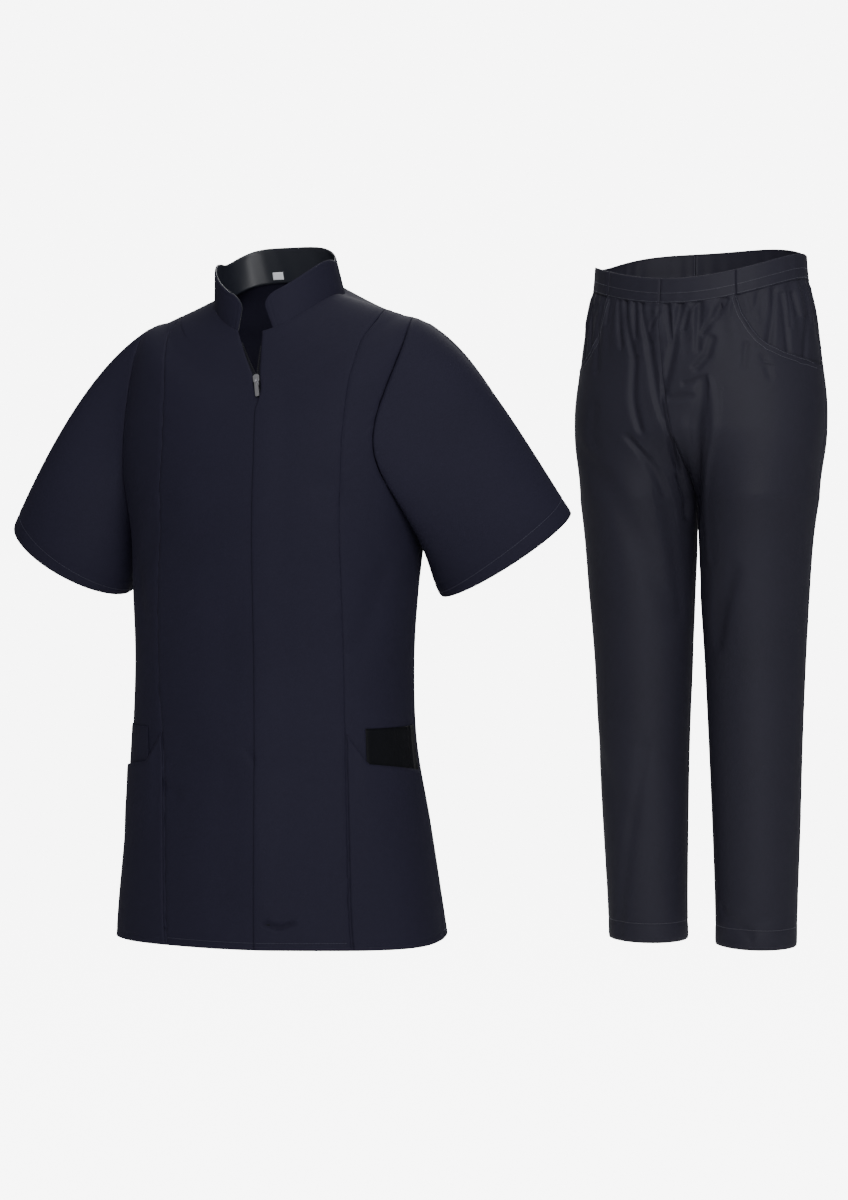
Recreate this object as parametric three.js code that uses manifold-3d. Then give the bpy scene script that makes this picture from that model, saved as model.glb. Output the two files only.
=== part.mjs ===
// Medical scrubs: a short-sleeved zip tunic beside a pair of pull-on trousers, both filled out as if worn.
// Millimetres, +Z up. The origin is the middle of the tunic's neck seam, -Y faces the viewer.
import * as THREE from 'three';
import { mergeVertices } from 'three/addons/utils/BufferGeometryUtils.js';
import Module from 'manifold-3d';

// Cloth
const WALL = 1.3;
const SEAM_GAP = 0.3;
const LAYER_GAP = 0.45;

// Placing: each garment is turned a little, and the trousers hang beside and behind the tunic
const TUNIC_TURN = 10;
const TROUSERS_TURN = 22;
const TROUSERS_X = 571;
const TROUSERS_Y = 469;

// Tunic rings from the neck seam to the hem: middle across, half width, front and back depth,
// height at the front, the side and the back, and how far the ring turns with the shoulders
const TUNIC_COLUMNS = ['middle', 'side', 'front', 'back', 'zFront', 'zSide', 'zBack', 'turn'];
const TUNIC_ROWS = [
  [-3, 77.5, 72, 62, -50, 4, 30, 9],
  [1, 111, 86, 80, -80, -9, 10, 8],
  [5, 146, 99, 95, -112, -22, -16, 7],
  [7, 183, 113, 108, -148, -39.5, -50, 6],
  [0, 191, 125, 115, -200, -120, -118, 5],
  [-3, 187, 131, 118, -250, -198, -194, 4],
  [-1, 177, 131, 117, -300, -276, -272, 3],
  [-4, 171, 128, 113, -352, -350, -350, 1.5],
  [-5, 167, 123, 109, -431, -431, -431, 0],
  [-5, 170, 125, 112, -526, -526, -526, 0],
  [0, 181, 132, 120, -621, -621, -621, 0],
  [3, 192, 138, 129, -712, -712, -712, 0],
  [5, 196.5, 141, 133, -750, -755, -757, 0],
];
const TORSO_SQUARENESS = 0.035;
const SHOULDER_TIP_RING = 3;
const ARMPIT_RING = 6;
const HEM_RING = TUNIC_ROWS.length - 1;
const SHOULDER_TILT = 0.016;
const HEM_WAVE = 2.6;
const RIDGE_BACK = 12;

// Front edges: the zip line, the collar's ends and the open top of the fronts
const COLLAR_END_X = 21.5;
const COLLAR_TOP_X = 15;
const FLY_TOP_X = 9;
const FLY_OVERLAP = 5;
const SLIDER_TOP_Z = -100;
const SLIDER_BOTTOM_Z = -117;
const FLY_CLOSED_Z = -150;
const RIGHT_CLOSE_LENGTH = 6;
const FLY_LIFT = WALL + LAYER_GAP;
const FLY_BLEND = 34;

// Seams down the front: ring, and where the zip and the two princess seams lie across
const SEAM_COLUMNS = ['ring', 'zip', 'right', 'left'];
const SEAM_ROWS = [
  [0, -11.5, -142, 140],
  [1.5, -4.5, -136, 126],
  [2, -1, -130, 115],
  [3, 5, -120, 106],
  [4, 7, -115, 101],
  [6, 6.5, -117, 99],
  [7.4, 6.5, -121, 100],
  [8.3, 7, -120, 101],
  [9.1, 8, -111, 103],
  [12, 12.5, -101, 114],
];
const PRINCESS_START = 1.5;
const PRINCESS_SETTLED = 2.1;
const PANEL_COLUMNS = 6;

// Armholes and sleeves
const ARMHOLE_TOP_RING = 2.35;
const ARMHOLE_SCOOP_FRONT = { right: 24, left: 44 };
const ARMHOLE_SCOOP_BACK = 26;
const ARMHOLE_ROUNDNESS = 0.5;
const SLEEVES = {
  right: { hand: -1, hem: [264, 22, -305], width: 168, depth: 124 },
  left: { hand: 1, hem: [270, 10, -305], width: 182, depth: 120 },
};
const SLEEVE_AXIS = [0.5, 0.33, -0.8];
const SLEEVE_RISE = [0.86, 0, 0.51];
const SLEEVE_STEPS = 7;
const SLEEVE_GAP = 0.55;
const SLEEVE_GAP_RISE = 0.4;
const MITRE_LEAST = 0.6;
const SLEEVE_STIFFNESS = 0.9;
const SLEEVE_PROBE = 0.05;
const UNDERARM_TRIM = 0.18;
const SHOULDER_SLOPE = [0.88, 0, -0.47];
const UNDERARM_SLOPE = [0.28, 0.1, -0.95];

// Stand collar
const COLLAR_HEIGHT = 40;
const COLLAR_LENGTH = 405;
const COLLAR_LEAN = 5;
const COLLAR_SWAY = -5;
const COLLAR_END_RADIUS = 13;
const COLLAR_WALL = 1.1;
const COLLAR_SEAT = 0.8;

// Tunic pockets: the tab beside the princess seam, then the mouth across to the side seam
const POCKET_TAB_Z = -508;
const POCKET_TAB_WIDTH = 25;
const POCKET_MOUTH_Z = -545;
const POCKET_SIDE_Z = -560;
const POCKET_SIDE_SHARE = 0.96;
const POCKET_WIDTH = 92;
const POCKET_GAP = 0.6;
const FACING_TOP_Z = -505;
const FACING_BOTTOM_Z = -575;
const FACING_WALL = 1;

// Zip
const TAPE_WIDTH = 13;
const TAPE_WALL = 1;
const TAPE_BOTTOM_RING = 11.7;
const SLIDER_WIDTH = 7.4;
const SLIDER_CLEARANCE = 0.8;
const SLIDER_FOOT_WIDTH = 5.4;
const SLIDER_FRONT = 2;
const SLIDER_BACK = -1.2;
const SLIDER_ABOVE = 8.5;
const SLIDER_BELOW = 5.5;
const SLIDER_NECK = 4;
const SLIDER_CHAMFER = 2;
const PIN_Z = -110;
const PIN_OUT = 0.95;
const PIN_HEIGHT = 0.8;
const BAIL_WIDTH = 1.6;
const BAIL_WALL = 1;
const BAIL_ROOT = 0.4;
const EYE_WIDTH = 2.2;
const EYE_DEPTH = 2.4;
const PULL_LENGTH = 21;
const PULL_WIDTH = 4.7;
const PULL_WALL = 0.9;
const PULL_RADIUS = 1.5;
const PULL_TAPER = 0.3;
const PULL_NECK = 2;

// Neck label
const LABEL_WIDTH = 11;
const LABEL_HEIGHT = 9;
const LABEL_FOOT = 1;
const LABEL_DEGREES = 197;

// Trousers rings from the waist to below the hips: half width, front and back depth,
// height at the front, the side and the back, and how far the middle seams lie towards -X
const HIP_COLUMNS = ['side', 'front', 'back', 'zFront', 'zSide', 'zBack', 'twist'];
const HIP_ROWS = [
  [152, 104, 104, 88, 127, 157, 11.5],
  [155, 106, 106, 53, 92, 122, 11.5],
  [166.5, 114, 115, 8, 38, 62, 10],
  [174, 119, 122, -38, -20, -6, 8],
  [180, 122, 126, -84, -76, -70, 6],
  [179, 122, 125, -128, -126, -124, 3.5],
  [176, 120, 122, -172, -172, -172, 1.5],
  [171, 116, 118, -215, -215, -215, 0],
];
const TROUSERS_MIDDLE = -3;
const WAIST_SQUARENESS = 0.02;
const HIP_SQUARENESS = 0.1;
const LEG_WARP = 13;
const BAND_RING = 1;
const BAND_WALL = 2.2;
const BAND_LIFT = 0.6;
const CROTCH_RING = HIP_ROWS.length - 1;
const SPLIT_FROM = 4.8;
const SPLIT_TO = 7.4;

// Trouser legs below the hips: height, middle across, half width, half depth
const LEG_COLUMNS = ['z', 'middle', 'x', 'width', 'depth'];
const LEG_ROWS = [
  [-215, -1.5, 86, 85, 109],
  [-270, -2.5, 83.5, 81, 97],
  [-340, -2.5, 82.5, 77, 86],
  [-445, -1, 81.5, 71, 76],
  [-560, -0.5, 81.5, 66, 69],
  [-675, 1, 81, 62, 64],
  [-790, 2.5, 79.5, 58, 60],
  [-847, 3, 78.5, 57.5, 58.5],
];
const GATHERS = 40;
const GATHER_DEPTH = 3.4;
const GATHERS_END = 3;
const GATHERS_FINE_TO = 2.3;
const SCOOP_FINE_TO = 3.3;

// Scoop pockets: angle round the waist from the middle of the front, by ring
const SCOOP_ROWS = [
  [1, 37.5], [1.6, 39], [2.07, 42], [2.35, 44.5], [2.58, 48.3], [2.81, 55], [2.97, 63], [3.09, 73],
  [3.14, 82], [3.16, 90],
];
const SCOOP_END_RING = 3.16;
const HIP_PIECE_TUCK = 8;
const HIP_PIECE_INNER = 47;
const HIP_PIECE_BOTTOM = 3.4;
const HIP_PIECE_DROP = 1.7;

// Large folds: hand (0 for both), then angle and height of each end, width and depth
const FOLD_COLUMNS = ['hand', 'degreesA', 'zA', 'degreesB', 'zB', 'width', 'depth'];
const TROUSER_FOLDS = [
  [1, 14, -60, 9, -330, 13, 6],
  [-1, 62, -130, 20, -380, 18, 4],
  [1, 36, -310, 24, -430, 15, 4],
  [-1, 80, -560, 40, -700, 20, 2.5],
  [0, 140, -170, 168, -260, 22, 5],
  [0, 130, -330, 165, -420, 20, 3],
  [1, 70, -790, 25, -838, 16, 3],
];
const TUNIC_FOLDS = [
  [1, 62, -290, 45, -420, 16, 3.5],
  [-1, 62, -290, 50, -400, 16, 3],
  [1, 112, -285, 140, -400, 20, 4],
  [-1, 112, -285, 140, -400, 20, 4],
  [1, 160, -420, 120, -450, 22, 3],
  [-1, 165, -440, 118, -470, 22, 3],
];
const MM_PER_DEGREE = 2.8;

const rad = THREE.MathUtils.degToRad;
const mix = THREE.MathUtils.lerp;
const smooth = THREE.MathUtils.smoothstep;
const vec = (x, y, z) => new THREE.Vector3(x, y, z);

// Reads a table at a place between its rows with a smooth curve through them
function along(rows, columns, place) {
  const last = rows.length - 1;
  const at = Math.min(Math.max(place, 0), last);
  const i = Math.min(Math.floor(at), last - 1);
  const t = at - i;
  const row = (n) => rows[Math.min(Math.max(n, 0), last)];
  const out = {};
  columns.forEach((name, c) => {
    const [a, b, d, e] = [row(i - 1)[c], row(i)[c], row(i + 1)[c], row(i + 2)[c]];
    const [m0, m1] = [(d - a) / 2, (e - b) / 2];
    out[name] = (2 * b - 2 * d + m0 + m1) * t ** 3 + (3 * d - 3 * b - 2 * m0 - m1) * t ** 2 + m0 * t + b;
  });
  return out;
}

// Reads a column of a table at a value of its first column, straight between the rows
function lookUp(rows, value, column = 1) {
  const i = Math.min(Math.max(rows.findIndex((row) => row[0] > value), 1), rows.length - 1);
  const next = value >= rows[rows.length - 1][0] ? rows.length - 1 : i;
  const [a, b] = [rows[next - 1], rows[next]];
  const t = Math.min(Math.max((value - a[0]) / (b[0] - a[0]), 0), 1);
  return mix(a[column], b[column], t);
}

// Evenly spaced numbers from a to b
function steps(a, b, count) {
  return Array.from({ length: count + 1 }, (_, i) => mix(a, b, i / count));
}

// A point on a closed ring at an angle from the middle of the front, +X side positive
function ringPoint(ring, degrees, squareness) {
  const s = Math.sin(rad(degrees));
  const c = Math.cos(rad(degrees));
  const swell = 1 + squareness * Math.sin(rad(2 * degrees)) ** 2;
  const depth = c > 0 ? ring.front : ring.back;
  const end = c > 0 ? ring.zFront : ring.zBack;
  const share = c > 0 ? c * c : 1 - s ** 4;
  return vec(ring.side * s * swell, -depth * c * swell, mix(ring.zSide, end, share));
}

// The surface normal of a two-parameter surface, by small steps along it
function normalOf(surface, u, v, stepU = 0.02, stepV = 0.5) {
  const across = surface(u, v + stepV).sub(surface(u, v - stepV));
  const down = surface(u + stepU, v).sub(surface(u - stepU, v));
  return down.cross(across).normalize();
}

// Gives each place of a surface its point, moved out by lift, and its normal
function cloth(surface, u, v, lift = 0, facing = 1) {
  const normal = normalOf(surface, u, v).multiplyScalar(facing);
  return { point: surface(u, v).addScaledVector(normal, lift), normal };
}

// A closed wall of cloth. Each row runs across the piece, and neighbouring rows may differ in their count
function clothWall(rows, wall = WALL) {
  const vertices = [];
  const faces = [];
  const firsts = rows.map((row) => {
    const first = vertices.length;
    row.forEach(({ point }) => vertices.push(point));
    row.forEach(({ point, normal }) => vertices.push(point.clone().addScaledVector(normal, -wall)));
    return first;
  });
  const outer = (r, i) => firsts[r] + i;
  const inner = (r, i) => firsts[r] + rows[r].length + i;
  for (let r = 0; r < rows.length - 1; r += 1) {
    const m = rows[r].length - 1;
    const k = rows[r + 1].length - 1;
    let [i, j] = [0, 0];
    while (i < m || j < k) {
      if (j === k || (i < m && (i + 1) / m <= (j + 1) / k)) {
        faces.push([outer(r, i), outer(r + 1, j), outer(r, i + 1)]);
        faces.push([inner(r, i), inner(r, i + 1), inner(r + 1, j)]);
        i += 1;
      } else {
        faces.push([outer(r, i), outer(r + 1, j), outer(r + 1, j + 1)]);
        faces.push([inner(r, i), inner(r + 1, j + 1), inner(r + 1, j)]);
        j += 1;
      }
    }
    faces.push([outer(r + 1, 0), outer(r, 0), inner(r, 0)], [outer(r + 1, 0), inner(r, 0), inner(r + 1, 0)]);
    faces.push([outer(r, m), outer(r + 1, k), inner(r + 1, k)], [outer(r, m), inner(r + 1, k), inner(r, m)]);
  }
  const end = rows.length - 1;
  for (let i = 0; i < rows[0].length - 1; i += 1) {
    faces.push([outer(0, i), outer(0, i + 1), inner(0, i + 1)], [outer(0, i), inner(0, i + 1), inner(0, i)]);
  }
  for (let i = 0; i < rows[end].length - 1; i += 1) {
    faces.push([outer(end, i + 1), outer(end, i), inner(end, i)]);
    faces.push([outer(end, i + 1), inner(end, i), inner(end, i + 1)]);
  }
  return solid(vertices, faces);
}

// A closed geometry from points and faces, turned so that its faces point out
function solid(vertices, faces) {
  let volume = 0;
  faces.forEach(([a, b, c]) => {
    volume += vertices[a].dot(vertices[b].clone().cross(vertices[c]));
  });
  const turned = volume < 0 ? faces.map(([a, b, c]) => [a, c, b]) : faces;
  const geometry = new THREE.BufferGeometry();
  geometry.setAttribute('position', new THREE.Float32BufferAttribute(vertices.flatMap((v) => v.toArray()), 3));
  geometry.setIndex(turned.flat());
  geometry.computeVertexNormals();
  return geometry;
}

const finishes = {
  navy: new THREE.MeshStandardMaterial({ color: 0x20202c, roughness: 0.85 }),
  satin: new THREE.MeshStandardMaterial({ color: 0x15161d, roughness: 0.35 }),
  charcoal: new THREE.MeshStandardMaterial({ color: 0x26272d, roughness: 0.85 }),
  tape: new THREE.MeshStandardMaterial({ color: 0x12131a, roughness: 0.9 }),
  metal: new THREE.MeshStandardMaterial({ color: 0xb9b9be, roughness: 0.3, metalness: 1 }),
  label: new THREE.MeshStandardMaterial({ color: 0xe8eaee, roughness: 0.7 }),
};

function mesh(name, geometry, finish) {
  const made = new THREE.Mesh(geometry, finishes[finish].clone());
  made.name = name;
  return made;
}

// How far the cloth dips into the large folds at a place given by hand, angle and height
function foldDip(folds, hand, degrees, z) {
  let dip = 0;
  folds.forEach((values) => {
    const fold = Object.fromEntries(FOLD_COLUMNS.map((name, i) => [name, values[i]]));
    if (fold.hand !== 0 && fold.hand !== hand) return;
    const a = new THREE.Vector2(fold.degreesA * MM_PER_DEGREE, fold.zA);
    const line = new THREE.Vector2(fold.degreesB * MM_PER_DEGREE, fold.zB).sub(a);
    const place = new THREE.Vector2(degrees * MM_PER_DEGREE, z).sub(a);
    const share = Math.min(Math.max(place.dot(line) / line.lengthSq(), 0), 1);
    const off = place.sub(line.clone().multiplyScalar(share)).length() / fold.width;
    dip += fold.depth * Math.exp(-off * off) * (0.35 + 0.65 * Math.sin(Math.PI * share));
  });
  return dip;
}

// Tunic body. Its hem swings in a few soft waves
function torso(u, degrees) {
  const ring = along(TUNIC_ROWS, TUNIC_COLUMNS, u);
  const point = ringPoint(ring, degrees, TORSO_SQUARENESS);
  const wave = HEM_WAVE * smooth(u, ARMPIT_RING, HEM_RING) * Math.cos(rad(6 * degrees + 20));
  const wrapped = ((degrees + 540) % 360) - 180;
  const out = vec(point.x, point.y, 0).normalize();
  point.addScaledVector(out, wave - foldDip(TUNIC_FOLDS, Math.sign(wrapped), Math.abs(wrapped), point.z));
  point.y += RIDGE_BACK * Math.sin(rad(degrees)) ** 2 * (1 - smooth(u, SHOULDER_TIP_RING, ARMPIT_RING));
  point.applyAxisAngle(vec(0, 0, 1), -rad(ring.turn));
  point.x += ring.middle;
  point.z -= SHOULDER_TILT * point.x * (1 - smooth(u, SHOULDER_TIP_RING, ARMPIT_RING));
  return point;
}

// The angle at which a ring's front half reaches a given distance across
function angleAt(u, x) {
  let [low, high] = [-90, 90];
  for (let pass = 0; pass < 20; pass += 1) {
    const middle = (low + high) / 2;
    if (torso(u, middle).x < x) low = middle;
    else high = middle;
  }
  return (low + high) / 2;
}

const sideSeam = (hand) => 90 * hand;
const seamAcross = (u, name) => lookUp(SEAM_ROWS, u, SEAM_COLUMNS.indexOf(name));

// The princess seam leaves the shoulder seam and runs down to the hem
function princess(u, hand) {
  if (u <= PRINCESS_START) return sideSeam(hand);
  const start = torso(PRINCESS_START, sideSeam(hand)).x;
  const x = mix(start, seamAcross(u, hand < 0 ? 'right' : 'left'), smooth(u, PRINCESS_START, PRINCESS_SETTLED));
  return angleAt(u, x);
}

// The armhole runs in from the shoulder tip and back out to the armpit
function armhole(u, hand, scoop) {
  if (u <= ARMHOLE_TOP_RING || u >= ARMPIT_RING) return sideSeam(hand);
  const share = (u - ARMHOLE_TOP_RING) / (ARMPIT_RING - ARMHOLE_TOP_RING);
  return hand * (90 - scoop * Math.sin(Math.PI * share) ** ARMHOLE_ROUNDNESS);
}

const armholeFront = (u, hand) => armhole(u, hand, ARMHOLE_SCOOP_FRONT[hand < 0 ? 'right' : 'left']);
const armholeBack = (u, hand) => sideSeam(hand) * 2 - armhole(u, hand, ARMHOLE_SCOOP_BACK);

// Rings on which the panels of the body are cut, closer together where a seam bends
const shoulderRings = [0, 0.5, 1, 1.5, 2];
const princessRings = [1.56, 1.68, 1.84, 2, 2.17];
const frontRings = [0, 0.5, 1, 1.5, ...princessRings];
const armholeRings = [ARMHOLE_TOP_RING, 2.4, 2.55, 2.8, 3.1, 3.5, 4, 4.5, 5, 5.4, 5.75, 5.94, ARMPIT_RING];
const bodyRings = [6.5, 7, 7.5, 8, 8.5, 9, 9.5, 10, 10.5, 11, 11.5, HEM_RING];

// One row of a panel between two angles, pulled in by half a seam gap at each end
function row(surface, u, from, to, count, lift = () => 0, facing = 1) {
  const a = cloth(surface, u, from);
  const b = cloth(surface, u, to);
  const width = a.point.distanceTo(b.point);
  const trim = Math.min(SEAM_GAP / 2 / Math.max(width, 1), 0.3) * (to - from);
  const inner = typeof count === 'number' ? steps(from, to, count).slice(1, -1) : count(from, to);
  const places = [from + trim, ...inner, to - trim];
  return places.map((degrees) => cloth(surface, u, degrees, lift(u, degrees), facing));
}

// How far the fronts stand open, from 0 at the slider to 1 at the collar
function openAt(u) {
  const z = along(TUNIC_ROWS, TUNIC_COLUMNS, u).zFront;
  const top = along(TUNIC_ROWS, TUNIC_COLUMNS, 0).zFront;
  return Math.min(Math.max((z - SLIDER_TOP_Z) / (top - SLIDER_TOP_Z), 0), 1);
}

// Where a front's closing edge lies: open in a V above the slider, and clear of it beside it
function frontEdge(u, hand) {
  const { zFront } = along(TUNIC_ROWS, TUNIC_COLUMNS, u);
  const zipX = seamAcross(u, 'zip');
  const beside = SLIDER_WIDTH / 2 + SLIDER_CLEARANCE;
  if (hand < 0) {
    const closed = smooth(-zFront, -SLIDER_BOTTOM_Z, RIGHT_CLOSE_LENGTH - SLIDER_BOTTOM_Z);
    return angleAt(u, zipX - SEAM_GAP - mix(beside, COLLAR_END_X, openAt(u)) * (1 - closed));
  }
  const closed = smooth(-zFront, -SLIDER_BOTTOM_Z, -FLY_CLOSED_Z);
  return angleAt(u, zipX + mix(beside, FLY_TOP_X, openAt(u)) * (1 - closed) - FLY_OVERLAP * closed);
}

// The fly lies over the other front's edge, so the left front is raised towards its edge
function flyLift(u, degrees) {
  const x = torso(u, degrees).x - seamAcross(u, 'zip');
  return FLY_LIFT * (1 - smooth(x, 4, FLY_BLEND)) * smooth(u, 1, 2);
}

function tunicBody(group) {
  for (const [hand, side] of [[-1, 'right'], [1, 'left']]) {
    const lift = hand > 0 ? flyLift : () => 0;
    const front = [...frontRings, ...armholeRings, ...bodyRings]
      .map((u) => row(torso, u, frontEdge(u, hand), princess(u, hand), 7, lift));
    group.add(mesh(`front_${side}`, clothWall(front), 'navy'));
    const panel = [...princessRings, ...armholeRings, ...bodyRings]
      .map((u) => row(torso, u, princess(u, hand), armholeFront(u, hand), PANEL_COLUMNS));
    group.add(mesh(`side_front_${side}`, clothWall(panel), 'navy'));
  }
  const back = [...shoulderRings, ...armholeRings, ...bodyRings]
    .map((u) => row(torso, u, armholeBack(u, 1), 360 + armholeBack(u, -1), 14));
  group.add(mesh('back', clothWall(back), 'navy'));
}

// The ring of the body that passes a height at an angle
function ringAtHeight(z, degrees) {
  let [low, high] = [0, HEM_RING];
  for (let pass = 0; pass < 24; pass += 1) {
    const middle = (low + high) / 2;
    if (torso(middle, degrees).z > z) low = middle;
    else high = middle;
  }
  return low;
}

// Pockets lie on the side fronts, on the same columns as the panel under them
function pockets(group) {
  const pocketLift = WALL + FACING_WALL + 2 * POCKET_GAP;
  const columns = [0.03, ...steps(0, 1, PANEL_COLUMNS).slice(1, -1), POCKET_SIDE_SHARE];
  for (const [hand, side] of [[-1, 'right'], [1, 'left']]) {
    const angle = (u, share) => mix(princess(u, hand), sideSeam(hand), share);
    const ringAt = (z, share) => ringAtHeight(z, angle(9, share));
    const mouthZ = (share) => {
      const across = share * POCKET_WIDTH;
      if (across < POCKET_TAB_WIDTH) return mix(POCKET_TAB_Z, POCKET_MOUTH_Z, across / POCKET_TAB_WIDTH);
      const past = (across - POCKET_TAB_WIDTH) / (POCKET_WIDTH - POCKET_TAB_WIDTH);
      return mix(POCKET_MOUTH_Z, POCKET_SIDE_Z, past);
    };
    const pocket = steps(0, 1, 8).map((down) => columns.map((share) => {
      const u = mix(ringAt(mouthZ(share), share), HEM_RING - 0.03, down);
      return cloth(torso, u, angle(u, share), pocketLift);
    }));
    group.add(mesh(`pocket_${side}`, clothWall(pocket), 'navy'));
    const facing = steps(FACING_TOP_Z, FACING_BOTTOM_Z, 4).map((z) => columns.slice(2).map((share) => {
      const u = ringAt(z, share);
      return cloth(torso, u, angle(u, share), FACING_WALL + POCKET_GAP);
    }));
    group.add(mesh(`pocket_facing_${side}`, clothWall(facing, FACING_WALL), 'satin'));
  }
}

// Stand collar: a point at a share of its height and an angle round the neck
function collar(share, degrees) {
  const base = torso(0, degrees);
  const out = vec(base.x, base.y, 0).normalize();
  const rise = vec(COLLAR_SWAY * share, 0, COLLAR_SEAT + COLLAR_HEIGHT * share);
  return base.addScaledVector(out, -COLLAR_LEAN * share).add(rise);
}

function collarLayers(group) {
  const columns = 26;
  const layer = (lift) => steps(0, 1, 4).map((share) => {
    const reach = mix(COLLAR_END_X, COLLAR_TOP_X, share);
    const from = angleAt(0, SEAM_ROWS[0][1] + reach);
    const to = 360 + angleAt(0, SEAM_ROWS[0][1] - reach);
    const ends = [0.02, 0.045, 0.075];
    const shares = [0, ...ends, ...steps(0.11, 0.89, columns - 8), ...ends.map((v) => 1 - v).reverse(), 1];
    return shares.map((along) => {
      const degrees = mix(from, to, along);
      const fromEnd = Math.min(along, 1 - along) * COLLAR_LENGTH;
      const inset = Math.max(COLLAR_END_RADIUS - fromEnd, 0);
      const corner = COLLAR_END_RADIUS - Math.sqrt(COLLAR_END_RADIUS ** 2 - inset ** 2);
      return cloth(collar, share * (1 - corner / COLLAR_HEIGHT), degrees, lift, -1);
    });
  });
  group.add(mesh('collar_outer', clothWall(layer(0), COLLAR_WALL), 'navy'));
  const inner = layer(-COLLAR_WALL - LAYER_GAP);
  group.add(mesh('collar_inner', clothWall(inner, COLLAR_WALL), 'satin'));
  const labelLift = -2 * COLLAR_WALL - 2.5 * LAYER_GAP;
  const half = THREE.MathUtils.radToDeg(LABEL_WIDTH / 2 / TUNIC_ROWS[0][3]);
  const label = [LABEL_FOOT, LABEL_FOOT + LABEL_HEIGHT].map((height) => [-half, 0, half]
    .map((turn) => cloth(collar, height / COLLAR_HEIGHT, LABEL_DEGREES + turn, labelLift, -1)));
  group.add(mesh('neck_label', clothWall(label, 1), 'label'));
}

// Tapes under the fronts' edges, spreading with them above the slider
function zipTapes(group) {
  const rings = [...frontRings.slice(1), ...armholeRings, ...bodyRings].filter((u) => u <= TAPE_BOTTOM_RING);
  for (const [hand, side] of [[-1, 'right'], [1, 'left']]) {
    const tape = rings.map((u) => {
      const spread = openAt(u) * (hand < 0 ? COLLAR_END_X : FLY_TOP_X);
      const edge = seamAcross(u, 'zip') + hand * (SEAM_GAP / 2 + spread);
      return [0, TAPE_WIDTH].map((across) => {
        const degrees = angleAt(u, edge + hand * across);
        return cloth(torso, u, degrees, -WALL - LAYER_GAP);
      });
    });
    group.add(mesh(`zip_tape_${side}`, clothWall(tape, TAPE_WALL), 'tape'));
  }
}

const wasm = await Module();
wasm.setup();

// A closed geometry as a manifold solid, and back
function toSolid(geometry) {
  const bare = geometry.clone();
  bare.deleteAttribute('normal');
  bare.deleteAttribute('uv');
  const merged = mergeVertices(bare, 1e-4);
  const [vertProperties, triVerts] = [merged.attributes.position.array, new Uint32Array(merged.index.array)];
  return new wasm.Manifold(new wasm.Mesh({ numProp: 3, vertProperties, triVerts }));
}

function fromSolid(made) {
  const { vertProperties, triVerts } = made.getMesh();
  const geometry = new THREE.BufferGeometry();
  geometry.setAttribute('position', new THREE.BufferAttribute(new Float32Array(vertProperties), 3));
  geometry.setIndex(new THREE.BufferAttribute(new Uint32Array(triVerts), 1));
  geometry.computeVertexNormals();
  return geometry;
}

// A shape drawn across and up, made thick outwards from one depth to another
function plate(shape, from, to) {
  const geometry = new THREE.ExtrudeGeometry(shape, { depth: to - from, bevelEnabled: false, curveSegments: 4 });
  const outwards = new THREE.Matrix4().makeBasis(vec(1, 0, 0), vec(0, 0, 1), vec(0, -1, 0));
  return geometry.applyMatrix4(outwards).translate(0, -from, 0);
}

// Slider: a tapered body on the tapes with a bail in front, whose hole is the pull's hinge
function sliderGeometry() {
  const [top, foot] = [SLIDER_WIDTH / 2, SLIDER_FOOT_WIDTH / 2];
  const outline = new THREE.Shape();
  const [neck, shoulder] = [SLIDER_NECK - SLIDER_BELOW, SLIDER_ABOVE - SLIDER_CHAMFER];
  outline.moveTo(-foot, -SLIDER_BELOW).lineTo(foot, -SLIDER_BELOW).lineTo(foot, neck);
  outline.lineTo(top, 0).lineTo(top, shoulder).lineTo(top - SLIDER_CHAMFER, SLIDER_ABOVE);
  outline.lineTo(SLIDER_CHAMFER - top, SLIDER_ABOVE).lineTo(-top, shoulder).lineTo(-top, 0);
  outline.lineTo(-foot, neck);
  const body = plate(outline, SLIDER_BACK, SLIDER_FRONT);
  const [inside, outside] = [PIN_OUT, PIN_OUT + BAIL_WALL];
  const bail = new THREE.Shape();
  bail.moveTo(-BAIL_ROOT, -outside).absarc(PIN_OUT, 0, outside, -Math.PI / 2, Math.PI / 2, false);
  bail.lineTo(-BAIL_ROOT, outside).lineTo(-BAIL_ROOT, inside);
  bail.absarc(PIN_OUT, 0, inside, Math.PI / 2, -Math.PI / 2, true).lineTo(-BAIL_ROOT, -inside);
  const loop = new THREE.ExtrudeGeometry(bail, { depth: BAIL_WIDTH, bevelEnabled: false, curveSegments: 8 });
  loop.applyMatrix4(new THREE.Matrix4().makeBasis(vec(0, -1, 0), vec(0, 0, 1), vec(-1, 0, 0)));
  loop.translate(BAIL_WIDTH / 2, -SLIDER_FRONT, 0);
  return fromSolid(toSolid(body).add(toSolid(loop)));
}

// Pull: a flat tab whose top bar passes through the bail
function pullGeometry() {
  const [half, eye, bar] = [PULL_WIDTH / 2, EYE_WIDTH / 2, PIN_HEIGHT / 2];
  const tab = new THREE.Shape();
  const [cornerX, cornerZ] = [half - PULL_RADIUS, PULL_RADIUS - PULL_LENGTH];
  tab.moveTo(PULL_TAPER - half, bar).lineTo(-half, bar - PULL_NECK);
  tab.absarc(-cornerX, cornerZ, PULL_RADIUS, Math.PI, Math.PI * 1.5, false);
  tab.absarc(cornerX, cornerZ, PULL_RADIUS, Math.PI * 1.5, Math.PI * 2, false);
  tab.lineTo(half, bar - PULL_NECK).lineTo(half - PULL_TAPER, bar);
  const hole = new THREE.Path();
  hole.moveTo(-eye, -bar).lineTo(-eye, -EYE_DEPTH).lineTo(eye, -EYE_DEPTH).lineTo(eye, -bar);
  tab.holes.push(hole);
  return plate(tab, -PULL_WALL / 2, PULL_WALL / 2);
}

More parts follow.
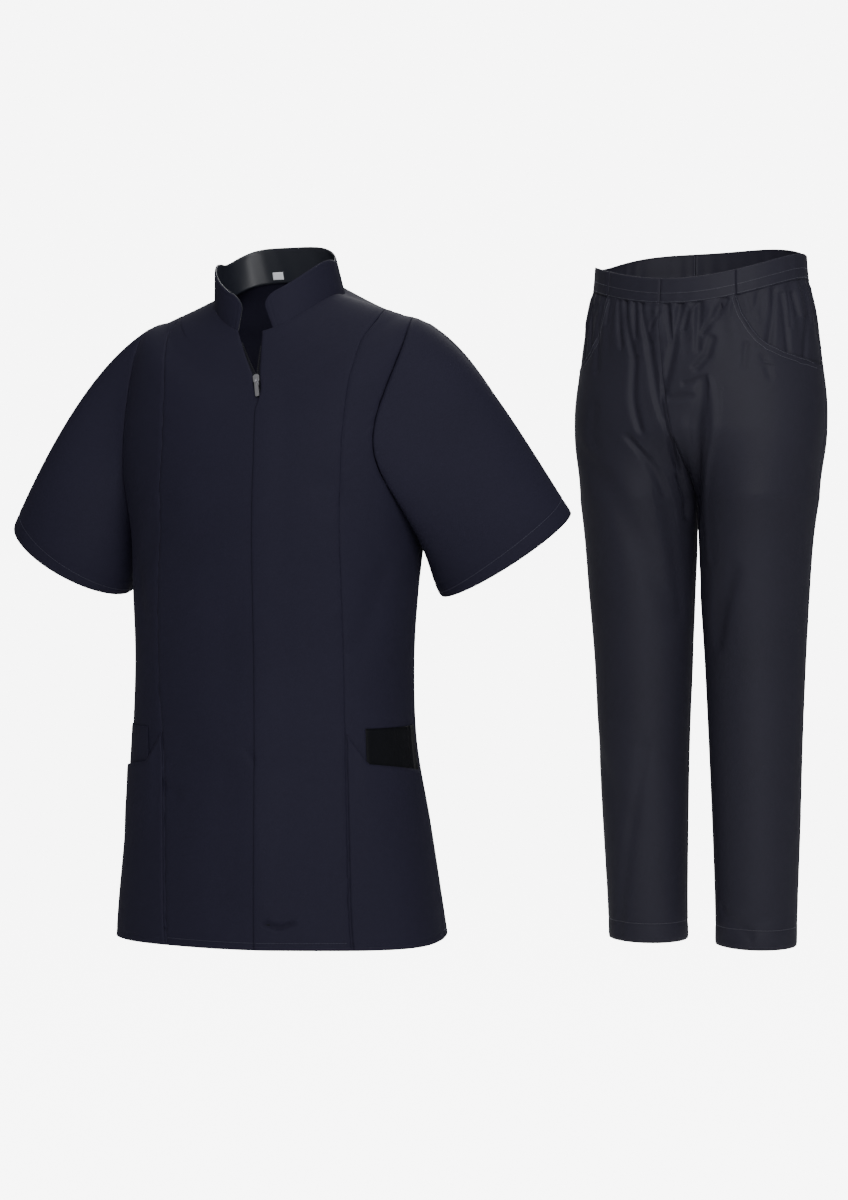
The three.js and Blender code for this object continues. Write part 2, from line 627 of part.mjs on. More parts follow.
// The slider and its pull stand on the cloth of the front, with the pull hanging down it
function zipMetal(group) {
  const onZip = (u) => torso(u, angleAt(u, seamAcross(u, 'zip')));
  const u = ringAtHeight(PIN_Z, 0);
  const normal = normalOf(torso, u, angleAt(u, seamAcross(u, 'zip')));
  const across = onZip(u - 0.2).sub(onZip(u + 0.2)).cross(normal).normalize();
  const up = normal.clone().cross(across).normalize();
  const metal = new THREE.Group();
  metal.position.copy(onZip(u));
  metal.setRotationFromMatrix(new THREE.Matrix4().makeBasis(across, normal.clone().negate(), up));
  const pull = mesh('zip_pull', pullGeometry(), 'metal');
  pull.position.set(0, -SLIDER_FRONT - PIN_OUT, 0);
  metal.add(mesh('zip_slider', sliderGeometry(), 'metal'), pull);
  group.add(metal);
}

// The armhole as a loop from the armpit, up the front, over the shoulder tip and down the back
function armholeLoop(hand) {
  const up = [...armholeRings].reverse().map((u) => [u, armholeFront(u, hand)]);
  const down = armholeRings.slice(1).map((u) => [u, armholeBack(u, hand)]);
  return [...up, ...down].map(([u, degrees]) => cloth(torso, u, degrees));
}

function sleeve({ hand, hem, width, depth }) {
  const loop = armholeLoop(hand);
  const lengths = [0];
  for (let i = 1; i < loop.length; i += 1) {
    lengths.push(lengths[i - 1] + loop[i].point.distanceTo(loop[i - 1].point));
  }
  const round = lengths[lengths.length - 1];
  const mirror = (list) => vec(list[0] * hand, list[1], list[2]);
  const axis = mirror(SLEEVE_AXIS).normalize();
  const rise = mirror(SLEEVE_RISE);
  rise.addScaledVector(axis, -rise.dot(axis)).normalize();
  const ahead = rise.clone().cross(axis).multiplyScalar(-hand).normalize();
  const centre = mirror(hem);
  const columns = loop.map(({ point, normal }, i) => {
    const share = lengths[i] / round;
    const turn = Math.PI * 2 * share;
    const low = Math.abs(share - 0.5) * 2;
    const end = centre.clone()
      .addScaledVector(rise, -Math.cos(turn) * width / 2)
      .addScaledVector(ahead, Math.sin(turn) * depth / 2);
    const leave = mirror(SHOULDER_SLOPE).lerp(mirror(UNDERARM_SLOPE), smooth(low, 0, 1)).normalize();
    const before = loop[Math.max(i - 1, 0)].point;
    const after = loop[Math.min(i + 1, loop.length - 1)].point;
    const arrive = point.clone().sub(before).normalize();
    const depart = after.clone().sub(point).normalize();
    const seam = arrive.clone().add(depart).normalize();
    const corner = 1 / Math.max(seam.dot(arrive), seam.dot(depart), MITRE_LEAST);
    const start = leave.clone().addScaledVector(seam, -leave.dot(seam)).normalize();
    const away = seam.clone().cross(normal).normalize().multiplyScalar(hand);
    const gapWay = away.clone().add(start).addScaledVector(normal, SLEEVE_GAP_RISE).normalize();
    const facing = seam.clone().cross(start).multiplyScalar(-hand).normalize();
    return { from: point.clone().addScaledVector(gapWay, SLEEVE_GAP * corner), leave, end, facing, turn };
  });
  const surface = (t, i) => {
    const column = columns[i];
    const reach = column.from.distanceTo(column.end);
    const near = 2 * t ** 3 - 3 * t ** 2 + 1;
    const leaving = t ** 3 - 2 * t ** 2 + t;
    const arriving = t ** 3 - t ** 2;
    return column.from.clone().multiplyScalar(near)
      .addScaledVector(column.leave, leaving * reach * SLEEVE_STIFFNESS)
      .addScaledVector(column.end, 1 - near)
      .addScaledVector(axis, arriving * reach * SLEEVE_STIFFNESS);
  };
  const last = columns.length - 1;
  const rows = steps(0, 1, SLEEVE_STEPS).map((t, r) => {
    const points = columns.map((_, i) => surface(t, i));
    return points.map((point, i) => {
      if (r === 0) return { point, normal: columns[i].facing };
      const across = points[Math.min(i + 1, last)].clone().sub(points[Math.max(i - 1, 0)]);
      const down = surface(t, i).sub(surface(t - SLEEVE_PROBE, i));
      return { point, normal: down.cross(across).multiplyScalar(-hand).normalize() };
    });
  });
  rows.forEach((line) => {
    const first = line[1].point.clone().sub(line[0].point).normalize();
    line[0].point.addScaledVector(first, UNDERARM_TRIM);
    const back = line[last - 1].point.clone().sub(line[last].point).normalize();
    line[last].point.addScaledVector(back, UNDERARM_TRIM);
  });
  return clothWall(rows);
}

// Trousers: one half is a tube that is open towards the middle above the crotch and closed below it.
// The angle runs from the front middle, round the side, to the back middle
function halfTrousers(hand, u, degrees) {
  const ring = along(HIP_ROWS, HIP_COLUMNS, Math.min(u, CROTCH_RING));
  const full = hand * degrees;
  const warp = hand * LEG_WARP * Math.sin(rad(2 * degrees)) * smooth(u, 3.5, CROTCH_RING);
  const squareness = mix(WAIST_SQUARENESS, HIP_SQUARENESS, smooth(u, 2, 6));
  const hip = ringPoint(ring, full - warp - ring.twist * Math.cos(rad(full)), squareness);
  const leg = along(LEG_ROWS, LEG_COLUMNS, Math.max(u - CROTCH_RING, 0));
  const split = smooth(u, SPLIT_FROM, SPLIT_TO);
  const legX = hand * (leg.x - leg.width * Math.cos(rad(2 * degrees)));
  const x = mix(hip.x, leg.middle + legX, split);
  const y = mix(hip.y, -leg.depth * Math.sin(rad(2 * degrees)), split);
  const point = vec(x, y, u > CROTCH_RING ? leg.z : hip.z);
  const middle = vec(split * (leg.middle + hand * leg.x), 0, point.z);
  const out = point.clone().sub(middle).setZ(0).normalize();
  const held = 0.35 + 0.65 * smooth(u, BAND_RING, BAND_RING + 0.3);
  const fade = held * (1 - smooth(u, BAND_RING + 0.3, GATHERS_END));
  const wave = 0.5 + 0.5 * Math.cos(rad(GATHERS * full + 50 * Math.sin(rad(3 * full)) + 40));
  const uneven = 0.75 + 0.25 * Math.sin(rad(5 * full + 80));
  const dip = foldDip(TROUSER_FOLDS, hand, degrees, point.z) * smooth(u, SPLIT_FROM - 1, SPLIT_FROM);
  return point.addScaledVector(out, (u > BAND_RING ? GATHER_DEPTH * fade * wave * uneven : 0) - dip);
}

const scoop = (u) => (u >= SCOOP_END_RING ? 90 : lookUp(SCOOP_ROWS, u));

function trousers(group) {
  const gatherRings = [1.01, 1.15, 1.35, 1.7, 2.1];
  const scoopRings = [2.4, 2.65, 2.81, 2.97, 3.09, 3.14, SCOOP_END_RING];
  const flat = () => 0;
  const lowRings = [3.5, 4, 4.5, 5, 5.5, 6, 6.5, 7, 7.4, 8, 8.5, 9, 10, 11, 12, 13, 14];
  for (const [hand, side] of [[-1, 'right'], [1, 'left']]) {
    const surface = (u, degrees) => halfTrousers(hand, u, degrees);
    const even = (u) => (from, to) => {
      const step = u < GATHERS_FINE_TO ? 3 : (u < SCOOP_FINE_TO ? 4.5 : 9);
      const first = Math.ceil((from + step / 3) / step);
      const last = Math.ceil((to - step / 3) / step) - 1;
      return steps(first * step, last * step, last - first);
    };
    const front = [...gatherRings, ...scoopRings, ...lowRings]
      .map((u) => row(surface, u, 0, scoop(u), even(u), flat, hand));
    group.add(mesh(`front_leg_${side}`, clothWall(front), 'charcoal'));
    const back = [...gatherRings, 2.65, SCOOP_END_RING, ...lowRings]
      .map((u) => row(surface, u, 90, 180, even(u), flat, hand));
    group.add(mesh(`back_leg_${side}`, clothWall(back), 'charcoal'));
    const tucked = (u, degrees) => -WALL - LAYER_GAP
      - HIP_PIECE_DROP * (1 - smooth(degrees, scoop(u) - 3, scoop(u) + 6));
    const piece = [...gatherRings, 2.4, 2.65, 2.97, SCOOP_END_RING, HIP_PIECE_BOTTOM].map((u) => {
      const inner = Math.min(scoop(u) - HIP_PIECE_TUCK, HIP_PIECE_INNER);
      return row(surface, u, inner, 90, even(u), tucked, hand);
    });
    group.add(mesh(`hip_piece_${side}`, clothWall(piece), 'charcoal'));
    for (const [name, from, to, columns] of [['front', 0, scoop(1), 10], ['back', scoop(1), 180, 22]]) {
      const band = [0, 0.5, 0.99].map((u) => row(surface, u, from, to, columns, () => BAND_LIFT, hand));
      group.add(mesh(`waistband_${name}_${side}`, clothWall(band, BAND_WALL), 'charcoal'));
    }
  }
}

const group = new THREE.Group();
const tunic = new THREE.Group();
tunic.rotation.z = -rad(TUNIC_TURN);
group.add(tunic);
tunicBody(tunic);
tunic.add(mesh('sleeve_right', sleeve(SLEEVES.right), 'navy'));
tunic.add(mesh('sleeve_left', sleeve(SLEEVES.left), 'navy'));
collarLayers(tunic);
pockets(tunic);
zipTapes(tunic);
zipMetal(tunic);

const pair = new THREE.Group();
pair.position.set(TROUSERS_X + TROUSERS_MIDDLE, TROUSERS_Y, 0);
pair.rotation.z = -rad(TROUSERS_TURN);
group.add(pair);
trousers(pair);

export default group;
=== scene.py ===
import math
import bmesh
import bpy
import numpy as np
from mathutils import Matrix, Vector


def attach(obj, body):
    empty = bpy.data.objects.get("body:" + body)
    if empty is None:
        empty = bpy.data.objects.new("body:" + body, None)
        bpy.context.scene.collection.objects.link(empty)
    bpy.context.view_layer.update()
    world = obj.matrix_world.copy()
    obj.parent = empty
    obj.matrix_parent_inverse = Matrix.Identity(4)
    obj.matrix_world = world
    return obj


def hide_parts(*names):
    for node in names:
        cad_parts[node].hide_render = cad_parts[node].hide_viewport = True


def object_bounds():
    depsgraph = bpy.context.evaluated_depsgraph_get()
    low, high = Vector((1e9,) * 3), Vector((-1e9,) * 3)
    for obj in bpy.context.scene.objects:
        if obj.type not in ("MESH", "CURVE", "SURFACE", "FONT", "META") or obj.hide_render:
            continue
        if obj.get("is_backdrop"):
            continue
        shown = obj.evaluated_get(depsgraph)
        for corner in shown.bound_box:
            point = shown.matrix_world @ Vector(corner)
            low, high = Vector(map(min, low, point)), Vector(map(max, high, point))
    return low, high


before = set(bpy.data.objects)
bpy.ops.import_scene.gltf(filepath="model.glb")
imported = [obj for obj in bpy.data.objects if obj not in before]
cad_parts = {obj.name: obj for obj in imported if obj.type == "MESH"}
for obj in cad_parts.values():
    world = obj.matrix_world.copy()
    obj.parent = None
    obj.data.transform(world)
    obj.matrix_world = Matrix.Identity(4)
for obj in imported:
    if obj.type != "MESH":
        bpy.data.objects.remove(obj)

LOW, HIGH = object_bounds()

# Camera at chest height, level, 57 mm on a 36 mm high sensor, as the photograph was taken.
camera_data = bpy.data.cameras.new("camera")
camera_data.sensor_fit = "VERTICAL"
camera_data.sensor_height = 36
camera_data.lens = 57
camera = bpy.data.objects.new("camera", camera_data)
camera.location = (0.172, -2.261, -0.359)
camera.rotation_euler = (math.radians(90), 0, 0)
bpy.context.collection.objects.link(camera)
bpy.context.scene.camera = camera

# Studio: a white floor that bends up into a white wall, and large soft lights round it.
# The floor and the surround look pure white to the camera and throw only a little light themselves.
FLOOR_Z = -1.55
FLOOR_END = 7
BEND_RADIUS = 1.2
WHITE_TO_THE_CAMERA = 7
paper = bpy.data.materials.new("white_paper")
paper.use_nodes = True
paper_shader = paper.node_tree.nodes["Principled BSDF"]
paper_shader.inputs["Base Color"].default_value = (0.92, 0.92, 0.92, 1)
paper_shader.inputs["Roughness"].default_value = 0.9
paper_shader.inputs["Emission Color"].default_value = (1, 1, 1, 1)
seen = paper.node_tree.nodes.new("ShaderNodeLightPath")
glow = paper.node_tree.nodes.new("ShaderNodeMath")
glow.operation = "MULTIPLY_ADD"
glow.inputs[1].default_value = WHITE_TO_THE_CAMERA
glow.inputs[2].default_value = 0.1
paper.node_tree.links.new(seen.outputs["Is Camera Ray"], glow.inputs[0])
paper.node_tree.links.new(glow.outputs["Value"], paper_shader.inputs["Emission Strength"])
backdrop_mesh = bmesh.new()
bmesh.ops.create_grid(backdrop_mesh, x_segments=1, y_segments=40, size=1)
for vertex in backdrop_mesh.verts:
    along_floor = (vertex.co.y + 1) * 10 - 6
    past_bend = max(along_floor - FLOOR_END, 0)
    bend = min(past_bend / BEND_RADIUS, math.pi / 2)
    up_the_wall = max(past_bend - BEND_RADIUS * math.pi / 2, 0)
    vertex.co = Vector((
        vertex.co.x * 8,
        min(along_floor, FLOOR_END) + BEND_RADIUS * math.sin(bend),
        FLOOR_Z + BEND_RADIUS * (1 - math.cos(bend)) + up_the_wall,
    ))
backdrop_data = bpy.data.meshes.new("backdrop")
backdrop_mesh.to_mesh(backdrop_data)
backdrop_data.materials.append(paper)
for face in backdrop_data.polygons:
    face.use_smooth = True
backdrop = bpy.data.objects.new("backdrop", backdrop_data)
bpy.context.collection.objects.link(backdrop)
backdrop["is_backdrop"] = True

world = bpy.data.worlds.new("studio")
world.use_nodes = True
world.node_tree.nodes["Background"].inputs["Color"].default_value = (1, 1, 1, 1)
seen = world.node_tree.nodes.new("ShaderNodeLightPath")
glow = world.node_tree.nodes.new("ShaderNodeMath")
glow.operation = "MULTIPLY_ADD"
glow.inputs[1].default_value = WHITE_TO_THE_CAMERA
glow.inputs[2].default_value = 0.17
world.node_tree.links.new(seen.outputs["Is Camera Ray"], glow.inputs[0])
world.node_tree.links.new(glow.outputs["Value"], world.node_tree.nodes["Background"].inputs["Strength"])
bpy.context.scene.world = world
for name, place, aim, size, power in [
    ("front_light", (0.7, -3.3, 1.0), (0.2, 0.2, -0.4), 2.0, 132),
    ("left_light", (-3.0, -1.4, 0.8), (0.1, 0.2, -0.4), 2.0, 5),
    ("right_light", (3.4, -0.8, 0.6), (0.4, 0.3, -0.4), 1.6, 4),
    ("top_light", (0.3, -0.2, 2.4), (0.3, 0.3, -0.4), 2.0, 36),
    ("back_light", (0.3, 3.2, 2.6), (0.3, 0.4, -0.4), 2.0, 70),
]:
    light_data = bpy.data.lights.new(name, "AREA")
    light_data.size = size
    light_data.energy = power
    light = bpy.data.objects.new(name, light_data)
    light.location = place
    light.rotation_euler = (Vector(aim) - Vector(place)).to_track_quat("-Z", "Y").to_euler()
    bpy.context.collection.objects.link(light)
    light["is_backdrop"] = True

# Tunic fronts: navy polyester and cotton cloth, plain woven and pressed.
# Two panels from the neck to the hem, seamed to the side fronts in a princess line,
# and closed by a hidden zip under the fly of the left front.
WALL = 0.0013
LAYER_GAP = 0.00045
HEM_TURNING = 0.020
TUNIC_TURN = 10
# Rings from the neck seam to the hem: middle across, half width, front and back depth,
# height at the front, the side and the back, and turn in degrees
TUNIC_RINGS = [
    (-0.003, 0.0775, 0.072, 0.062, -0.050, 0.004, 0.030, 9),
    (0.001, 0.111, 0.086, 0.080, -0.080, -0.009, 0.010, 8),
    (0.005, 0.146, 0.099, 0.095, -0.112, -0.022, -0.016, 7),
    (0.007, 0.183, 0.113, 0.108, -0.148, -0.0395, -0.050, 6),
    (0.000, 0.191, 0.125, 0.115, -0.200, -0.120, -0.118, 5),
    (-0.003, 0.187, 0.131, 0.118, -0.250, -0.198, -0.194, 4),
    (-0.001, 0.177, 0.131, 0.117, -0.300, -0.276, -0.272, 3),
    (-0.004, 0.171, 0.128, 0.113, -0.352, -0.350, -0.350, 1.5),
    (-0.005, 0.167, 0.123, 0.109, -0.431, -0.431, -0.431, 0),
    (-0.005, 0.170, 0.125, 0.112, -0.526, -0.526, -0.526, 0),
    (0.000, 0.181, 0.132, 0.120, -0.621, -0.621, -0.621, 0),
    (0.003, 0.192, 0.138, 0.129, -0.712, -0.712, -0.712, 0),
    (0.005, 0.1965, 0.141, 0.133, -0.750, -0.755, -0.757, 0),
]
SHOULDER_TIP, ARMHOLE_TOP, ARMPIT, HEM = 3, 2.35, 6, 12
# Seams down the front: ring, then where the zip and the two princess seams lie across
SEAM_LINES = [
    (0, -0.0115, -0.142, 0.140), (1.5, -0.0045, -0.136, 0.126), (2, -0.001, -0.130, 0.115),
    (3, 0.005, -0.120, 0.106), (4, 0.007, -0.115, 0.101), (6, 0.0065, -0.117, 0.099),
    (7.4, 0.0065, -0.121, 0.100), (8.3, 0.007, -0.120, 0.101), (9.1, 0.008, -0.111, 0.103),
    (12, 0.0125, -0.101, 0.114),
]
# Folds and creases: hand (0 for both), angle and height of each end, width, depth (minus stands out)
TUNIC_FOLDS = [
    (1, 62, -0.290, 45, -0.420, 0.016, 0.0035),
    (-1, 62, -0.290, 50, -0.400, 0.016, 0.003),
    (1, 112, -0.285, 140, -0.400, 0.020, 0.004),
    (-1, 112, -0.285, 140, -0.400, 0.020, 0.004),
    (1, 160, -0.420, 120, -0.450, 0.022, 0.003),
    (-1, 165, -0.440, 118, -0.470, 0.022, 0.003),
]
METRES_PER_DEGREE = 0.0028


def along(rows, place):
    rows = np.array(rows, float)
    last = len(rows) - 1
    at = np.clip(np.asarray(place, float), 0, last)
    i = np.minimum(np.floor(at).astype(int), last - 1)
    t = (at - i)[..., None]
    a, b, d, e = rows[np.maximum(i - 1, 0)], rows[i], rows[i + 1], rows[np.minimum(i + 2, last)]
    m0, m1 = (d - a) / 2, (e - b) / 2
    found = (2 * b - 2 * d + m0 + m1) * t**3 + (3 * d - 3 * b - 2 * m0 - m1) * t**2 + m0 * t + b
    return np.moveaxis(found, -1, 0)


def look_up(rows, value, column):
    table = np.array(rows, float)
    return np.interp(value, table[:, 0], table[:, column])


def smooth(x, low, high):
    t = np.clip((np.asarray(x, float) - low) / (high - low), 0, 1)
    return t * t * (3 - 2 * t)


def points(x, y, z):
    return np.stack(np.broadcast_arrays(x, y, z), -1).astype(float)


def turned(place, degrees):
    c, s = np.cos(np.radians(degrees)), np.sin(np.radians(degrees))
    x, y, z = place[..., 0], place[..., 1], place[..., 2]
    return points(x * c + y * s, y * c - x * s, z)


def ring_point(side, front, back, z_front, z_side, z_back, degrees, squareness):
    s, c = np.sin(np.radians(degrees)), np.cos(np.radians(degrees))
    swell = 1 + squareness * np.sin(np.radians(2 * degrees)) ** 2
    depth, end = np.where(c > 0, front, back), np.where(c > 0, z_front, z_back)
    share = np.where(c > 0, c * c, 1 - s**4)
    return points(side * s * swell, -depth * c * swell, z_side + (end - z_side) * share)


def unit(v):
    return v / np.maximum(np.linalg.norm(v, axis=-1, keepdims=True), 1e-9)


def fold_dip(folds, hand, degrees, z):
    dip = np.zeros(np.broadcast(degrees, z).shape)
    for whose, degrees_a, z_a, degrees_b, z_b, width, depth in folds:
        line = np.array([(degrees_b - degrees_a) * METRES_PER_DEGREE, z_b - z_a])
        px, pz = (degrees - degrees_a) * METRES_PER_DEGREE, z - z_a
        share = np.clip((px * line[0] + pz * line[1]) / (line @ line), 0, 1)
        off = np.hypot(px - share * line[0], pz - share * line[1]) / width
        this = depth * np.exp(-off * off) * (0.35 + 0.65 * np.sin(np.pi * share))
        dip = dip + np.where((whose == 0) | (hand == whose), this, 0)
    return dip


def crease_depth(lines, across, z):
    """Sharp creases with a soft shoulder on each side, by degrees from the middle front and height."""
    deepest = np.zeros(np.broadcast(across, z).shape)
    for degrees_a, z_a, degrees_b, z_b, width, depth in lines:
        line = np.array([(degrees_b - degrees_a) * METRES_PER_DEGREE, z_b - z_a])
        px, pz = (across - degrees_a) * METRES_PER_DEGREE, z - z_a
        share = np.clip((px * line[0] + pz * line[1]) / (line @ line), 0, 1)
        off = np.hypot(px - share * line[0], pz - share * line[1]) / width
        this = depth * (1.25 * np.exp(-off * off) - 0.25 * np.exp(-((off / 2.4) ** 2)))
        deepest = np.where(np.abs(this) > np.abs(deepest), this, deepest)
    return deepest


def torso(u, degrees):
    middle, side, front, back, z_front, z_side, z_back, turn = along(TUNIC_RINGS, u)
    place = ring_point(side, front, back, z_front, z_side, z_back, degrees, 0.035)
    wave = 0.0026 * smooth(u, ARMPIT, HEM) * np.cos(np.radians(6 * degrees + 20))
    wrapped = (degrees + 540) % 360 - 180
    out = unit(place * [1, 1, 0])
    dip = fold_dip(TUNIC_FOLDS, np.sign(wrapped), np.abs(wrapped), place[..., 2])
    place = place + out * (wave - dip)[..., None]
    above = 1 - smooth(u, SHOULDER_TIP, ARMPIT)
    place[..., 1] += 0.012 * np.sin(np.radians(degrees)) ** 2 * above
    place = turned(place, turn)
    place[..., 0] += middle
    place[..., 2] -= 0.016 * place[..., 0] * above
    return place


def angle_at(u, x):
    u, x = np.broadcast_arrays(np.asarray(u, float), np.asarray(x, float))
    low, high = np.full(u.shape, -90.0), np.full(u.shape, 90.0)
    for _ in range(18):
        half = (low + high) / 2
        under = torso(u, half)[..., 0] < x
        low, high = np.where(under, half, low), np.where(under, high, half)
    return (low + high) / 2


def princess(u, hand):
    start = torso(1.5, 90.0 * hand)[..., 0]
    x = start + (look_up(SEAM_LINES, u, 2 if hand < 0 else 3) - start) * smooth(u, 1.5, 2.1)
    return np.where(u <= 1.5, 90.0 * hand, angle_at(u, x))


# How far each front edge stands from the middle of the zip: shut, and open at the neck
BESIDE_ZIP = 0.0045
OPEN_RIGHT, OPEN_LEFT = 0.0215, 0.009


def open_at(u):
    return np.clip((along(TUNIC_RINGS, u)[4] + 0.100) / 0.050, 0, 1)


def front_edge(u, hand):
    z = along(TUNIC_RINGS, u)[4]
    zip_x = look_up(SEAM_LINES, u, 1)
    if hand < 0:
        closed = smooth(-z, 0.117, 0.123)
        spread = BESIDE_ZIP + (OPEN_RIGHT - BESIDE_ZIP) * open_at(u)
        return angle_at(u, zip_x - 0.0003 - spread * (1 - closed))
    closed = smooth(-z, 0.117, 0.150)
    spread = BESIDE_ZIP + (OPEN_LEFT - BESIDE_ZIP) * open_at(u)
    return angle_at(u, zip_x + spread * (1 - closed) - 0.005 * closed)


def fly_lift(u, degrees):
    x = torso(u, degrees)[..., 0] - look_up(SEAM_LINES, u, 1)
    return (WALL + LAYER_GAP) * (1 - smooth(x, 0.004, 0.034)) * smooth(u, 1, 2)


def normals_of(grid, facing=1):
    up, across = np.gradient(grid, axis=0), np.gradient(grid, axis=1)
    return unit(np.cross(across, up)) * facing


GRIDS = {}


def cloth_piece(name, columns, rows, surface, material, wall=0.0011, lift=None, facing=1, crowd=0.55):
    """A grid whose columns crowd towards its seams, laid on a surface and made thick inwards."""
    bm = bmesh.new()
    bmesh.ops.create_grid(bm, x_segments=columns, y_segments=rows, size=0.5)
    plain = np.array([v.co[:] for v in bm.verts]).reshape(rows + 1, columns + 1, 3)
    s, t = plain[..., 0] + 0.5, 0.5 - plain[..., 1]
    s = s - crowd * np.sin(2 * np.pi * s) / (2 * np.pi)
    grid = surface(s, t)
    width = np.linalg.norm(np.diff(grid, axis=1), axis=-1).sum(1)[:, None]
    height = np.linalg.norm(np.diff(grid, axis=0), axis=-1).sum(0)[None, :]
    if lift is not None:
        raised = lift(s, t, s * width, (1 - s) * width, t * height, (1 - t) * height)
        grid = grid + normals_of(grid, facing) * raised[..., None]
    GRIDS[name] = grid, s[0], t[:, 0]
    uv = bm.loops.layers.uv.new("cloth")
    for vertex, place in zip(bm.verts, grid.reshape(-1, 3)):
        vertex.co = place
    flat_u, flat_v = (s * width.mean()).reshape(-1), (t * height.mean()).reshape(-1)
    bm.verts.index_update()
    for face in bm.faces:
        face.smooth = True
        for loop in face.loops:
            loop[uv].uv = (flat_u[loop.vert.index], flat_v[loop.vert.index])
    if facing < 0:
        bmesh.ops.reverse_faces(bm, faces=bm.faces)
    data = bpy.data.meshes.new(name)
    bm.to_mesh(data)
    bm.free()
    data.materials.append(material)
    piece = bpy.data.objects.new(name, data)
    bpy.context.collection.objects.link(piece)
    solid = piece.modifiers.new("wall", "SOLIDIFY")
    solid.thickness = wall
    solid.offset = -1
    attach(piece, "garments")
    return piece


def fabric(name, color, roughness, sheen, weave, bump, shine=0.12):
    material = bpy.data.materials.new(name)
    material.use_nodes = True
    nodes, links = material.node_tree.nodes, material.node_tree.links
    shader = nodes["Principled BSDF"]
    shader.inputs["Roughness"].default_value = roughness
    shader.inputs["Sheen Weight"].default_value = sheen
    shader.inputs["Sheen Roughness"].default_value = 0.4
    shader.inputs["Sheen Tint"].default_value = (*[min(c * 12, 1) for c in color], 1)
    shader.inputs["Specular IOR Level"].default_value = shine
    place = nodes.new("ShaderNodeTexCoord")
    mottle = nodes.new("ShaderNodeTexNoise")
    mottle.inputs["Scale"].default_value = 9
    mottle.inputs["Detail"].default_value = 5
    tint = nodes.new("ShaderNodeMixRGB")
    tint.inputs["Color1"].default_value = (*[c * 0.9 for c in color], 1)
    tint.inputs["Color2"].default_value = (*[c * 1.12 for c in color], 1)
    links.new(place.outputs["Object"], mottle.inputs["Vector"])
    links.new(mottle.outputs["Fac"], tint.inputs["Fac"])
    links.new(tint.outputs["Color"], shader.inputs["Base Color"])
    threads = nodes.new("ShaderNodeTexNoise")
    threads.inputs["Scale"].default_value = weave
    threads.inputs["Detail"].default_value = 3
    relief = nodes.new("ShaderNodeBump")
    relief.inputs["Strength"].default_value = bump
    relief.inputs["Distance"].default_value = 0.0006
    links.new(place.outputs["Object"], threads.inputs["Vector"])
    links.new(threads.outputs["Fac"], relief.inputs["Height"])
    links.new(relief.outputs["Normal"], shader.inputs["Normal"])
    return material


def seam_roll(near, depth=0.0009, reach=0.0028):
    return -depth * np.exp(-(near / reach) ** 2)


def pucker(run, near, pitch, depth, reach):
    uneven = 0.6 + 0.4 * np.sin(run / pitch * 1.7 + 1.3)
    waves = np.sin(2 * np.pi * run / pitch + 2.2 * np.sin(run / pitch * 0.9))
    return depth * uneven * waves * np.exp(-near / reach)


def hem_lift(bottom, depth=0.0006, width=0.0012, turning=HEM_TURNING):
    """The rolled edge of a hem and the dent of the sewing that holds its turning."""
    return seam_roll(bottom, 0.0006, 0.002) - depth * np.exp(-((bottom - turning) / width) ** 2)


def read_along(stops, run, rows):
    return np.stack([np.interp(stops, run, rows[..., k]) for k in range(3)], -1)


def stitches(name, rows, material, length=0.0024, pitch=0.0033, thread=0.0005, sunk=0):
    """Rows of single stitches on finished cloth: each row names its piece and its places in s and t."""
    bm = bmesh.new()
    for cloth, s_row, t_row in rows:
        grid, s_lines, t_lines = GRIDS[cloth]
        s_row, t_row = np.broadcast_arrays(np.asarray(s_row, float), np.asarray(t_row, float))
        ascending = t_lines if t_lines[-1] > t_lines[0] else t_lines[::-1]
        down = np.interp(t_row, ascending, np.arange(len(t_lines)))
        if t_lines[-1] < t_lines[0]:
            down = len(t_lines) - 1 - down
        right = np.interp(s_row, s_lines, np.arange(len(s_lines)))
        i = np.minimum(down.astype(int), len(t_lines) - 2)
        j = np.minimum(right.astype(int), len(s_lines) - 2)
        a, b = (down - i)[:, None], (right - j)[:, None]
        outs = normals_of(grid)
        place = (1 - a) * ((1 - b) * grid[i, j] + b * grid[i, j + 1])
        place = place + a * ((1 - b) * grid[i + 1, j] + b * grid[i + 1, j + 1])
        run = np.concatenate([[0], np.linalg.norm(np.diff(place, axis=0), axis=1).cumsum()])
        stops = np.arange(pitch / 2, run[-1] - pitch / 2, pitch)
        middles = read_along(stops, run, place)
        ahead = read_along(stops + pitch / 2, run, place) - middles
        facing = read_along(stops, run, outs[i, j])
        for middle, way, out in zip(middles, unit(ahead), unit(facing)):
            beside = unit(np.cross(out, way))
            turn = Matrix((way, beside, np.cross(way, beside))).transposed().to_4x4()
            spot = Matrix.Translation(Vector(middle + out * (thread * 0.2 - sunk))) @ turn
            shape = Matrix.Diagonal((length, thread, thread * 0.7, 1))
            bmesh.ops.create_cube(bm, size=1, matrix=spot @ shape)
    data = bpy.data.meshes.new(name)
    bm.to_mesh(data)
    bm.free()
    data.materials.append(material)
    row = bpy.data.objects.new(name, data)
    bpy.context.collection.objects.link(row)
    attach(row, "garments")
    return row


NAVY = fabric("navy_cloth", (0.0107, 0.0101, 0.0203), 0.74, 0.03, 700, 0.25, 0.09)
NAVY_THREAD = fabric("navy_thread", (0.030, 0.030, 0.045), 0.5, 0.3, 2500, 0.1)
